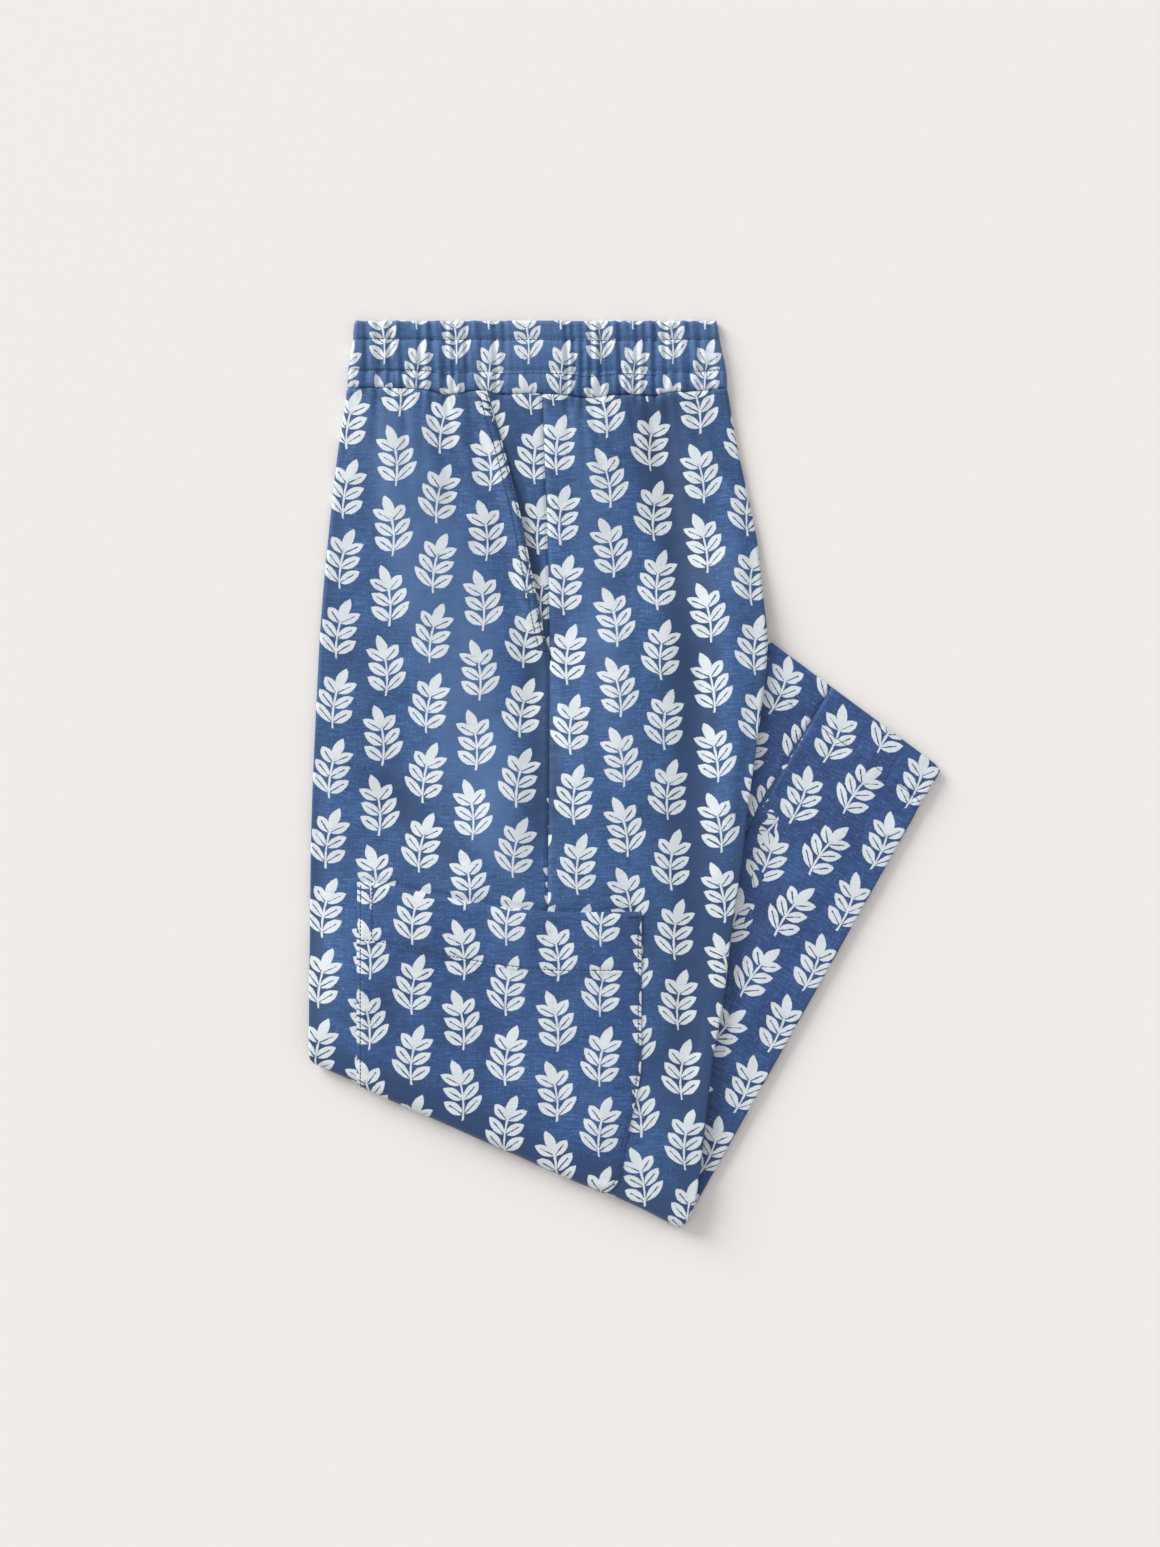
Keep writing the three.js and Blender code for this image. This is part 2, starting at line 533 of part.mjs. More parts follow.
function waistbandLeft() {
  const grid = bandPlaces(BAND_COLUMNS, [...bandRows, 'seam'], (x) => seamDownAt(x) - WAIST_SEAM_GAP / 2);
  const last = BAND_COLUMNS + 2 * EDGE_STEPS;
  const kept = [...everyFrom(0, EDGE_STEPS, 1), ...everyFrom(EDGE_STEPS + 3, last - EDGE_STEPS, 3),
    ...everyFrom(last - EDGE_STEPS + 1, last, 1)];
  const lastRow = grid.length - 1;
  const outer = grid.map((row, r) => row.map(({ x, down }) => {
    const roll = r === 0 || r === lastRow ? -SEAM_ROLL : 0;
    return onLeg(x, down, roll, bandPuff(down, seamDownAt(x)));
  }));
  const plain = (x, down) => {
    const at = onLeg(x, down, -BAND_WALL);
    return at.setZ(at.z - PLAIN_SHARE * reliefInside(x, down) - PLAIN_DROP);
  };
  const inner = grid.map((row) => kept.map((c) => plain(row[c].x, row[c].down)));
  return wall(outer, inner, kept);
}

// The half underneath mirrors the upper half's plain form and lies flat on the ground
const UNDER_BAND_COLUMNS = 40;
const UNDER_BAND_END = 49.8;
function waistbandRight() {
  const grid = bandPlaces(UNDER_BAND_COLUMNS, [0, 1.2, HEADER_DEPTH, 30, 'seam'], () => UNDER_BAND_END);
  const face = (lift, rim) => grid.map((row, r) => row.map(({ x, down }) => {
    const at = onLeg(x, down, lift);
    const mirrored = read(stackHeight, 'down', 'height', down) - at.z + reliefInside(x, down);
    return at.setZ(Math.max(0, mirrored) + (r === 0 ? rim : 0));
  }));
  return wall(face(0, 0), face(-BAND_WALL, -SEAM_ROLL), grid[0].map((_, index) => index));
}

// Right leg below the knee: rows run from the knee fold to the hem, whose doubled cloth is a little raised
const BEFORE_HEM = 46;
const shinHemRows = [HEM_DEPTH + 3, HEM_DEPTH + 0.5, HEM_DEPTH - 0.5, 16, 1.2, 0];
function shinGrid(insetAt, from, count, columns) {
  const rows = [...steps(count).map((share) => ({ share })), ...shinHemRows.map((short) => ({ short }))];
  return rows.map(({ share, short }) => steps(columns).map((_, index) => {
    let [along, inset] = [from, 0];
    for (let n = 0; n < 10; n += 1) {
      inset = insetAt(index, along);
      const hem = hemAlong(Math.max(inset, 0));
      along = short === undefined ? lerp(from, hem - BEFORE_HEM, share) : hem - short;
    }
    return { along, inset, short };
  }));
}
function shinPanel(insetAt, from, count, columns) {
  const grid = shinGrid(insetAt, from, count, columns);
  const outer = grid.map((row) => row.map(({ along, inset, short }) => {
    const inHem = short !== undefined && short < HEM_DEPTH;
    const roll = short === 0 ? -SEAM_ROLL : 0;
    return onShin(along, inset, (inHem ? HEM_RAISE : 0) + roll);
  }));
  const inner = grid.map((row) => row.map(({ along, inset }) => onShin(along, inset, -CLOTH)));
  return wall(outer, inner, grid[0].map((_, index) => index));
}
const SHIN_PANEL_FROM = { back: 26, front: 288 }; // where each comes out from under the upper leg
function rightBackLower() {
  const inner = (along) => Math.min(borderInset(along), shinSeamInset(along) - SEAM_GAP / 2);
  const flatColumns = 11;
  const insetAt = (index, along) => (index < EDGE_STEPS
    ? SHIN_RADIUS - SHIN_RADIUS * Math.PI * (1 - index / EDGE_STEPS)
    : lerp(SHIN_RADIUS, inner(along), (index - EDGE_STEPS) / flatColumns));
  return shinPanel(insetAt, SHIN_PANEL_FROM.back, 11, EDGE_STEPS + flatColumns);
}
function rightFrontLower() {
  const columns = 5;
  const insetAt = (index, along) => {
    return lerp(shinSeamInset(along) + SEAM_GAP / 2, borderInset(along), index / columns);
  };
  return shinPanel(insetAt, SHIN_PANEL_FROM.front, columns, columns);
}

// Hidden layers. Each cross-section is a loop: up the left side, over the top, down the right side.
// A side is drawn by insets from the outline and heights, once for the rise and once for the paired legs.
const coreSide = [
  { rise: [3, 0], legs: [2.3, 0] },
  { rise: [3, 0.6], legs: [2.3, 0.5] },
  { rise: [3, 1.3], legs: [0.7, 1] },
  { rise: [3, 2], legs: [0.3, 1.9] },
  { rise: [3, 2.7], legs: [0.7, 2.8] },
  { rise: [3.1, 3.4], legs: [2, 3.1] },
  { rise: [3.2, 4], legs: [2.3, 3.2] },
];
const coreInLegs = (down) => smoothstep(down, CROTCH_DOWN + 20, CROTCH_DOWN + 60);
const TONGUE = { low: BAND_WALL + 0.4, high: 4.2, inset: 4, neck: 3.4, downs: [5, 28, 58] };
// The core's rounded end inside the knee fold: its first steps out, its bends and its clearances
const KNEE_CORE = { out: [0.4, 0.8], bends: [25, 45, 62, 78].map(degToRad), clear: 0.7, short: 1.5 };

// The core's upper face lies under the panels' inner points, lower where the pocket facing comes between
const FACING_ROOM = { drop: 0.5, before: [-14, -8], past: 6, end: [240, 262] };
function coreDrop(x, down) {
  const beyondSlant = smoothstep(x - slantAt(down), ...FACING_ROOM.before);
  const inMouth = beyondSlant * (1 - smoothstep(down, ...FACING_ROOM.end));
  const beforeSeam = 1 - smoothstep(x - edgeAt('seam', down), 0, FACING_ROOM.past);
  return -(CLOTH + UNDER_GAP + FACING_ROOM.drop * inMouth * beforeSeam);
}
const coreColumns = [EDGE_STEPS + 0.4, ...plainColumns.slice(1)];
const coreTopColumns = [
  ...coreColumns.map((index) => (down) => panelColumn('left', frontBorder, index, down)),
  ...[0.2, 0.4, 0.6, 0.8].map((share) => (down) => lerp(frontBorder(down), backBorder(down), share)),
  ...[...coreColumns].reverse().map((index) => (down) => panelColumn('right', backBorder, index, down)),
];
function coreLoop(row) {
  const side = (sideName) => coreSide.map((one, index) => {
    const sign = sideName === 'left' ? 1 : -1;
    const inset = (down) => lerp(one.rise[0], one.legs[0], coreInLegs(down));
    const at = meet(row, (down) => edgeAt(sideName, down) + sign * inset(down));
    const height = liftBelow(at.x, at.down) + lerp(one.rise[1], one.legs[1], coreInLegs(at.down));
    return new THREE.Vector3(at.x, WAIST_Y - at.down, index === 0 ? 0 : height);
  });
  const top = coreTopColumns.map((columnAt) => {
    const at = meet(row, columnAt);
    return onLeg(at.x, at.down, coreDrop(at.x, at.down));
  });
  return [...side('left'), ...top, ...side('right').reverse()];
}
function loft(loops) {
  const points = loops.flat();
  const count = loops[0].length;
  const faces = [];
  for (let r = 0; r < loops.length - 1; r += 1) {
    for (let c = 0; c < count; c += 1) {
      const [a, b] = [r * count + c, r * count + ((c + 1) % count)];
      faces.push([a, b, b + count], [a, b + count, a + count]);
    }
  }
  const cap = (start, atStart) => {
    let [low, high] = [0, count - 1];
    while (high - low > 1) {
      const middle = (low + count - 1 - high) % 2 === 0 ? low + 1 : high - 1;
      const face = [start + low, start + high, start + middle];
      faces.push(atStart ? face : face.reverse());
      if (middle === low + 1) low = middle;
      else high = middle;
    }
  };
  cap(0, true);
  cap((loops.length - 1) * count, false);
  return solid(points, faces);
}

// The stack's core: a tongue inside the waistband, then the legs, then the rounded knee
function upperCore() {
  const loops = legRows.filter((row) => row.turn === 0 && row.share > 0.02).map(coreLoop);
  const [first, last] = [loops[0], loops[loops.length - 1]];
  const sides = coreSide.length;
  const tongue = (down, low, high) => first.map((point, index) => {
    const [left, right] = [edgeAt('left', down) + TONGUE.inset, edgeAt('right', down) - TONGUE.inset];
    const up = Math.min(index, first.length - 1 - index) / sides;
    const across = (point.x - first[0].x) / (first[first.length - 1].x - first[0].x);
    return new THREE.Vector3(lerp(left, right, across), WAIST_Y - down, lerp(low, high, Math.min(up, 1)));
  });
  const reach = KNEE.radius - CLOTH - UNDER_GAP;
  const outward = new THREE.Vector2(-Math.sin(KNEE.slope), -Math.cos(KNEE.slope));
  const foldWay = new THREE.Vector2(Math.cos(KNEE.slope), -Math.sin(KNEE.slope));
  const low = CLOTH + KNEE_CORE.clear;
  const ends = [
    { out: KNEE_CORE.out[0], share: 1, low: 0 },
    { out: KNEE_CORE.out[1], share: 1, low },
    ...KNEE_CORE.bends.map((bend) => ({ out: reach * Math.sin(bend), share: Math.cos(bend), low })),
  ].map((end) => last.map((point, index) => {
    const z = KNEE.radius + (Math.max(point.z, end.low) - KNEE.radius) * end.share;
    const at = outward.clone().multiplyScalar(end.out);
    const bend = Math.atan2(end.out, z - KNEE.radius);
    const along = KNEE.radius * bend * Math.tan(KNEE.slope) + KNEE_CORE.out[0];
    if (index <= sides) at.addScaledVector(foldWay, along);
    if (index >= last.length - sides) at.addScaledVector(foldWay, -KNEE_CORE.short);
    const onSide = index >= last.length - sides ? last[last.length - 1] : last[0];
    const plan = index < sides || index >= last.length - sides ? onSide : point;
    return new THREE.Vector3(plan.x + at.x, plan.y + at.y, z);
  }));
  const start = UNDER_BAND_END + SEAM_GAP;
  const [tip, swell, foot] = TONGUE.downs;
  return loft([tongue(tip, TONGUE.low, TONGUE.high), tongue(swell, TONGUE.low, TONGUE.high),
    tongue(start, TONGUE.low, TONGUE.neck), tongue(start + SEAM_GAP, 0, TONGUE.neck),
    tongue(foot, 0, TONGUE.neck), ...loops, ...ends]);
}

// The paired leg tubes below the knee, with their rounded side edge
const shinSide = [
  { inset: 1.7, height: 0 },
  { inset: 0.6, height: 0.7 },
  { inset: 0.25, height: 1.5 },
  { inset: 0.6, height: 2.2 },
  { inset: 1.8, height: 2.6 },
  { inset: 2.1, height: 2.7 },
];
const SHIN_CORE_TOP = LOWER_STACK - CLOTH - UNDER_GAP;
const HEM_LIP = 7;
const INTO_UPPER = 14;
function shinCore() {
  const rows = [10, 26, 60, 100, 140, 180, 220, 260, 300, 330, 350, 368, SHIN.length - HEM_LIP];
  const loops = rows.map((along) => {
    const slanted = (inset) => along + (along > 360 ? SHIN_HEM_SLANT * inset : 0);
    const side = shinSide.map(({ inset, height }) => {
      const plan = shinPlan(slanted(inset), inset);
      return new THREE.Vector3(plan.x, plan.y, height);
    });
    const far = borderInset(along) + INTO_UPPER;
    const top = steps(8).map((share) => {
      const inset = lerp(2.6, far, share);
      const plan = shinPlan(slanted(inset), inset);
      return new THREE.Vector3(plan.x, plan.y, SHIN_CORE_TOP + shinRelief(along, inset));
    });
    const end = shinPlan(slanted(far), far);
    return [...side, ...top, new THREE.Vector3(end.x, end.y, 0)];
  });
  return loft(loops);
}

// The hem end of the lower legs: three more edges of cloth under the top one, standing a little apart
function hemLips() {
  const lips = [
    { low: 0, high: 1.2, short: 0.8 },
    { low: 1.6, high: 2.8, short: 2.2 },
    { low: 3.1, high: SHIN_CORE_TOP, short: 1.4 },
  ];
  const shape = new THREE.Shape();
  shape.moveTo(HEM_LIP + 6, 0);
  for (const { low, high, short } of lips) {
    shape.lineTo(short + 0.3, low);
    shape.lineTo(short, (low + high) / 2);
    shape.lineTo(short + 0.3, high);
    if (high < SHIN_CORE_TOP) {
      shape.lineTo(HEM_LIP, high);
      shape.lineTo(HEM_LIP, high + 0.35);
    }
  }
  shape.lineTo(HEM_LIP + 6, SHIN_CORE_TOP);
  const from = shinPlan(hemAlong(3), 2.6);
  const far = borderInset(SHIN.length + 18) + 6;
  const way = shinPlan(hemAlong(far), far).sub(from);
  const geometry = new THREE.ExtrudeGeometry(shape, { depth: way.length(), bevelEnabled: false, steps: 1 });
  const along = new THREE.Vector3(way.x, way.y, 0).normalize();
  const up = new THREE.Vector3(0, 0, 1);
  const inward = new THREE.Vector3().crossVectors(up, along);
  geometry.applyMatrix4(new THREE.Matrix4().makeBasis(inward, up, along));
  return geometry.translate(from.x, from.y, 0);
}

const manifold = await Module();
manifold.setup();
function asManifold(geometry) {
  const bare = geometry.clone();
  bare.deleteAttribute('normal');
  bare.deleteAttribute('uv');
  const merged = mergeVertices(bare, 1e-4);
  const mesh = new manifold.Mesh({
    numProp: 3,
    vertProperties: new Float32Array(merged.attributes.position.array),
    triVerts: new Uint32Array(merged.index.array),
  });
  return new manifold.Manifold(mesh);
}
function asGeometry(body) {
  const { vertProperties, triVerts } = body.getMesh();
  const geometry = new THREE.BufferGeometry();
  geometry.setAttribute('position', new THREE.BufferAttribute(new Float32Array(vertProperties), 3));
  geometry.setIndex(new THREE.BufferAttribute(new Uint32Array(triVerts), 1));
  return geometry;
}
function hiddenLayers() {
  return asGeometry(asManifold(upperCore()).add(asManifold(shinCore())).add(asManifold(hemLips())));
}

const trousers = new THREE.Group();
const PRINTED_LINEN = '#46628e';
const INNER_LINEN = '#5d769c';
function sew(name, geometry, color = PRINTED_LINEN) {
  const material = new THREE.MeshStandardMaterial({ color, roughness: 0.95, metalness: 0 });
  const mesh = new THREE.Mesh(geometry, material);
  mesh.name = name;
  trousers.add(mesh);
}

sew('hidden_layers', hiddenLayers(), INNER_LINEN);
sew('left_front', leftFront());
sew('left_back', leftBack());
sew('pocket_facing', pocketFacing());
sew('cargo_pocket', cargoPocket());
sew('waistband_left', waistbandLeft());
sew('waistband_right', waistbandRight());
sew('right_back_lower', rightBackLower());
sew('right_front_lower', rightFrontLower());

export default trousers;
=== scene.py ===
# %% [markdown]
# Linen trousers, folded leg on leg and once at the knee, lying flat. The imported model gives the
# place of every piece. Here each piece of cloth is made again as a thin, finely folded sheet on the
# form of its solid, and gets its weave, its print and its stitches. Tables are in millimetres, as a
# tailor measures, and meshes are in metres.

import math

import bpy
import numpy as np
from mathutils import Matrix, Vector


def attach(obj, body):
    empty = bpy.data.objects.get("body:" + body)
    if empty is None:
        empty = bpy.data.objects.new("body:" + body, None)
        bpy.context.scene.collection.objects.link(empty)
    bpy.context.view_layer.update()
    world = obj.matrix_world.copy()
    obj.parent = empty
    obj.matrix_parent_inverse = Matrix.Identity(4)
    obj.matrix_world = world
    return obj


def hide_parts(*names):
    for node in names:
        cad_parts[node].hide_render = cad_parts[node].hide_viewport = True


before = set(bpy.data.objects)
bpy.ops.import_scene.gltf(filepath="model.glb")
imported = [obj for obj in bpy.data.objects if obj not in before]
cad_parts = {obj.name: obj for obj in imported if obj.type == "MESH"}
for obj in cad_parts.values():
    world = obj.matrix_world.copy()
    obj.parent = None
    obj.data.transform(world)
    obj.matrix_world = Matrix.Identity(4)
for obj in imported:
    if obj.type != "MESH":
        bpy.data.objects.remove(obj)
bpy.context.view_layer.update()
MM = 0.001

# %% [markdown]
# The picture was taken from straight above with a long lens. The camera looks down from 2.2 m, with
# the waistband towards the top of the frame. The trousers lie a little right of the middle, so the
# camera stands left of them.

# %% Camera
PICTURE_HEIGHT = 1.16025
CAMERA_RISE = 2.2
FRAME_MIDDLE = (-0.03375, 0.0)
CLOTH_LEVEL = 0.010

lens = bpy.data.cameras.new("long_lens")
lens.sensor_fit = "VERTICAL"
lens.sensor_height = 24.0
lens.lens = lens.sensor_height * CAMERA_RISE / PICTURE_HEIGHT
camera = bpy.data.objects.new("camera", lens)
camera.location = (*FRAME_MIDDLE, CAMERA_RISE + CLOTH_LEVEL)
bpy.context.scene.collection.objects.link(camera)
bpy.context.scene.camera = camera
print("lens", round(lens.lens, 1), "mm")

# %% [markdown]
# The light is a plain studio light. A wide window of light, low on the upper left and far away,
# rakes over the folds and draws a soft shadow along the right and lower edges. An even pale
# surround fills that shadow. The trousers lie on a plain warm white floor.

# %% Floor and light
FLOOR_COLOUR = (0.80, 0.772, 0.748)
FLOOR_ROUGHNESS = 0.9
FLOOR_HALF = 6.0
SURROUND = {"colour": (1.0, 0.99, 0.98), "strength": 0.69}
WINDOW = {
    "from": (-0.72, 0.69),
    "height": math.radians(22.0),
    "width": math.radians(34.0),
    "strength": 3.35,
}

floor_mesh = bpy.data.meshes.new("floor")
corners = [(-1, -1), (1, -1), (1, 1), (-1, 1)]
floor_mesh.from_pydata([(x * FLOOR_HALF, y * FLOOR_HALF, 0.0) for x, y in corners], [], [(0, 1, 2, 3)])
floor = bpy.data.objects.new("floor", floor_mesh)
bpy.context.scene.collection.objects.link(floor)
paint = bpy.data.materials.new("pale_floor")
paint.use_nodes = True
paint_shader = paint.node_tree.nodes["Principled BSDF"]
paint_shader.inputs["Base Color"].default_value = (*FLOOR_COLOUR, 1)
paint_shader.inputs["Roughness"].default_value = FLOOR_ROUGHNESS
floor_mesh.materials.append(paint)

world = bpy.data.worlds.new("surround")
bpy.context.scene.world = world
world.use_nodes = True
background = world.node_tree.nodes["Background"]
background.inputs["Color"].default_value = (*SURROUND["colour"], 1)
background.inputs["Strength"].default_value = SURROUND["strength"]

window = bpy.data.lights.new("soft_window", "SUN")
window.energy = WINDOW["strength"]
window.angle = WINDOW["width"]
window_stand = bpy.data.objects.new("soft_window", window)
window_place = Vector((*WINDOW["from"], math.tan(WINDOW["height"])))
window_stand.location = window_place
window_stand.rotation_euler = (-window_place).to_track_quat("-Z", "Y").to_euler()
bpy.context.scene.collection.objects.link(window_stand)
bpy.context.scene.view_settings.view_transform = "Standard"

# %% [markdown]
# A garment is drawn by the distance down from its waist. These tables give the outline of the
# folded leg, the wavy seam under the waistband and the slanted pocket edge, each as named columns.
# A smooth curve runs through the rows.

# %% Outline of the folded leg, mm
FOLDED_LENGTH = 680.0
WAIST_Y = FOLDED_LENGTH / 2
UPPER_STACK = 7.0
LOWER_STACK = 6.0
REST_GAP = 0.6
CROTCH_DOWN = 300.0
HIP_DOWN = 244.0

OUTLINE = {
    "down": [0, 22, 38, 52, 102, 162, 207, 244, 297, 360, 410, 461, 507, 549, 592, 655, 668, 680],
    "left": [
        -203.3, -205.6, -208.3, -208.8, -216.4, -223.1, -227.3, -229.9, -232.5, -235.1, -236.3, -236.7,
        -237, -237, -237, -237, -237, -237,
    ],
    "seam": [
        -63.8, -63.2, -62.7, -62.2, -60.4, -58.1, -57, -56.6, -57, -57, -57.8, -58.1,
        -58.5, -58.5, -58.5, -58.5, -58.5, -58.5,
    ],
    "right": [
        69, 73, 76.4, 77.3, 86.3, 99, 103.9, 107, 101.6, 93, 87, 79.5,
        74.3, 66.8, 61.5, 54, 50.5, 44.3,
    ],
}
STACK_HEIGHT = {"down": [0, 45, 58, 100, 220, 300, 350, 700], "height": [7.2, 7.4, 6.6, 6, 5.9, 6.5, 7, 7]}
WAIST_SEAM = {
    "x": [-212, -172, -148, -135, -120, -104, -94, -71, -44, -29, -8, 4, 21, 34, 47, 80],
    "down": [50, 50.2, 51.8, 55.5, 53.2, 52.3, 55, 54.2, 55.5, 57.7, 55.4, 55, 56.2, 53.2, 53, 49.9],
}
SLANT_EDGE = {
    "down": [50, 64, 90, 120, 149, 183, 212, 236, 249],
    "x": [-104.6, -100.4, -92.7, -84.9, -78, -71.4, -65.6, -60.7, -56.9],
}
POCKET_TOP = {
    "x": [-202, -186, -142, -114, -86, -49, -19, 14],
    "down": [421.5, 422.3, 431.2, 436.5, 440.6, 444, 444, 443.6],
}


def read(table, by, column, at):
    """Reads one column of a table at places given by another column, along a smooth curve."""
    knots = np.array(table[by], float)
    values = np.array(table[column], float)
    last = len(knots) - 1
    here = np.clip(np.asarray(at, float), knots[0], knots[-1])
    i = np.clip(np.searchsorted(knots, here, side="right") - 1, 0, last - 1)
    before = np.maximum(np.arange(last + 1) - 1, 0)
    after = np.minimum(np.arange(last + 1) + 1, last)
    slopes = (values[after] - values[before]) / (knots[after] - knots[before])
    span = knots[i + 1] - knots[i]
    t = (here - knots[i]) / span
    return (
        (2 * t**3 - 3 * t**2 + 1) * values[i]
        + (t**3 - 2 * t**2 + t) * slopes[i] * span
        + (3 * t**2 - 2 * t**3) * values[i + 1]
        + (t**3 - t**2) * slopes[i + 1] * span
    )


def smoothstep(value, low, high):
    t = np.clip((value - low) / (high - low), 0, 1)
    return t * t * (3 - 2 * t)


def bell(value):
    return np.exp(-np.square(value))


def lerp(a, b, share):
    return a + (b - a) * share


def edge_at(side, down):
    return read(OUTLINE, "down", side, down)


def slant_at(down):
    return read(SLANT_EDGE, "down", "x", down)


def seam_down_at(x):
    return read(WAIST_SEAM, "x", "down", x)


def pocket_top_at(x):
    return read(POCKET_TOP, "x", "down", x)


print("wide at the hip", round(float(edge_at("right", HIP_DOWN) - edge_at("left", HIP_DOWN))), "mm")

# %% [markdown]
# Elastic pulls the waist together, so the cloth stands in narrow gathers that run down into the leg
# and die out. Wide soft folds lie across the leg where it was pressed and handled. Each is a row of
# a table: a place or a line, a width and a depth. The rows are uneven on purpose, because real
# gathers never repeat.

# %% Gathers and soft folds, mm
GATHERS = [
    # x, depth, half-width, run below the seam, lean over LEAN_RUN
    (-195, 1.1, 3.0, 0, 0), (-185, 1.4, 2.6, 52, -4), (-176, 0.9, 2.4, 0, 0), (-167, 1.5, 2.2, 95, 4),
    (-161.5, 1.1, 2.0, 0, 0), (-154, 1.3, 2.4, 60, 2), (-145, 1.2, 2.4, 30, 0), (-135.5, 1.6, 2.2, 110, 12),
    (-129, 1.2, 2.0, 0, 0), (-119, 1.3, 2.6, 70, 8), (-108, 1.0, 2.4, 25, 0), (-97, 1.5, 2.4, 60, 10),
    (-91, 0.9, 2.0, 0, 0), (-44, 1.6, 2.2, 85, 4), (-38.5, 1.2, 2.0, 0, 0), (-32.5, 1.5, 2.2, 55, 3),
    (-26, 1.4, 2.2, 105, 10), (-18.5, 1.5, 2.3, 0, 0), (-11, 1.1, 2.2, 40, 5), (-3.8, 1.3, 2.2, 0, 0),
    (2.5, 1.2, 2.0, 75, 10), (8.5, 1.2, 2.0, 0, 0), (15, 1.4, 2.2, 120, 16), (22.5, 1.2, 2.2, 0, 0),
    (30, 1.4, 2.4, 60, 8), (39, 1.1, 2.4, 35, 6), (48.5, 1.2, 2.6, 70, 10), (56.5, 1.0, 2.6, 0, 0),
    (64, 1.1, 2.6, 45, 6),
]
LEG_FOLDS = [
    # from x, to x, from down, to down, half-width, height (negative for a trough)
    (-152, -94, 125, 385, 42, 4.2), (-186, -160, 70, 190, 18, 1.3), (-143, -128, 60, 140, 8, -2.1),
    (-63, -62, 270, 385, 16, -3.6), (-30, -4, 95, 310, 25, 2.8), (22, 52, 66, 250, 14, -3.2),
    (53, 50, 265, 560, 16, -3.0), (84, 80, 130, 360, 14, 2.0), (-165, -104, 366, 420, 14, -2.4),
    (-52, -14, 275, 405, 10, 1.8), (-42, -30, 540, 640, 34, 2.0), (-205, -200, 300, 480, 22, 0.9),
]
SHIN_FOLDS = [
    # from along, to along, from inset, to inset, half-width, height
    (90, 300, 34, 92, 14, -1.1), (120, 370, 38, 48, 16, 1.3), (352, 350, 30, 80, 12, -1.1),
]
FOLD_END = 2.2
GATHER_FADE = 8.0
LONG_GATHER = 0.75
LEAN_RUN = 60.0
CRUMPLE = {"waves": 11, "sizes": (0.65, 1.6), "calm": 3.3}
PILLOW = {"height": 1.5, "from": 330.0, "to": 450.0, "edge": 18.0, "knee": 24.0}


def fold_at(fold, a, b):
    a0, a1, b0, b1, wide, height = fold
    length = math.hypot(a1 - a0, b1 - b0)
    along = ((a - a0) * (a1 - a0) + (b - b0) * (b1 - b0)) / length
    off = ((a - a0) * (b1 - b0) - (b - b0) * (a1 - a0)) / length
    past = np.maximum(0, np.maximum(-along, along - length))
    return height * bell(off / wide) * bell(past / (wide * FOLD_END))


def gathers_at(x, below):
    height = 0.0
    for place, depth, wide, runs, lean in GATHERS:
        run = bell(below / (runs or GATHER_FADE)) * (LONG_GATHER if runs else 1.0)
        spread = wide * (1 + below / LEAN_RUN)
        height = height - depth * run * bell((x - place - lean * below / LEAN_RUN) / spread)
    return height


def crumple(u, v, size, seed):
    """Soft uneven waves of about one size, the same in every run, roughly from -1 to 1."""
    draw = np.random.default_rng(seed)
    total = 0.0
    for _ in range(CRUMPLE["waves"]):
        turn, phase = draw.uniform(0, math.tau, 2)
        wave = size * draw.uniform(*CRUMPLE["sizes"])
        total = total + np.sin(math.tau * (u * math.cos(turn) + v * math.sin(turn)) / wave + phase)
    return total / CRUMPLE["calm"]


print(len(GATHERS), "gathers and", len(LEG_FOLDS) + len(SHIN_FOLDS), "soft folds")

# %% [markdown]
# The legs lie on each other and turn back under themselves at the knee, on a slanted line. To lay a
# flat piece of cloth on this, each of its points is given by its place across and its distance
# down. Past a side edge the cloth rolls round the edge, and past the knee line it rolls round the
# whole stack. So every piece keeps its cut size.

# %% Lay flat cloth on the folded stack
KNEE = {
    "x": -237.0,
    "down": 556.5,
    "slope": math.radians(23.8),
    "radius": (UPPER_STACK + LOWER_STACK + REST_GAP) / 2,
}
KNEE_OUT = np.array([-math.sin(KNEE["slope"]), -math.cos(KNEE["slope"])])
KNEE_TUCK = {"by": 5.5, "past": (2.0, 15.0), "wide": 50.0}
BRIDGE = {"side": (2.0, 90.0), "hem": (1.0, 60.0)}
LEGS_PART = (CROTCH_DOWN - 30, CROTCH_DOWN + 15)
EDGE_TURN = (162.0, 180.0)
FADE_IN = {"folds": (0, 25), "wrinkles": (4, 40), "side": (2, 15), "knee": (4, 40)}
WRINKLES = [
    # height, size, stretch across, stretch down, seed
    (0.42, 46, 1.0, 0.7, 3), (0.12, 13, 0.8, 1.3, 4),
]
SHIN = {"x": 44.2, "y": -340.1, "heading": (0.4902, 0.8716), "length": 394.4, "hem_slant": 0.1267}
KNEE_CORNER = (KNEE["x"], WAIST_Y - KNEE["down"])
HIDDEN_HEM_CORNER = (78.8, 121.1)
HEM_CORNER = (
    SHIN["x"] + SHIN["heading"][0] * SHIN["length"],
    SHIN["y"] + SHIN["heading"][1] * SHIN["length"],
)


def outside(start, end, x, y):
    way = np.subtract(end, start) / np.linalg.norm(np.subtract(end, start))
    return (y - start[1]) * way[0] - (x - start[0]) * way[1]


def lift_below(x, down):
    """Height that the hidden lower legs give to what lies on them."""
    y = WAIST_Y - down
    on_side = 1 - smoothstep(outside(KNEE_CORNER, HIDDEN_HEM_CORNER, x, y), *BRIDGE["side"])
    on_hem = 1 - smoothstep(outside(HIDDEN_HEM_CORNER, HEM_CORNER, x, y), *BRIDGE["hem"])
    return (LOWER_STACK + REST_GAP) * on_side * on_hem


def in_legs(down):
    return smoothstep(down, *LEGS_PART)


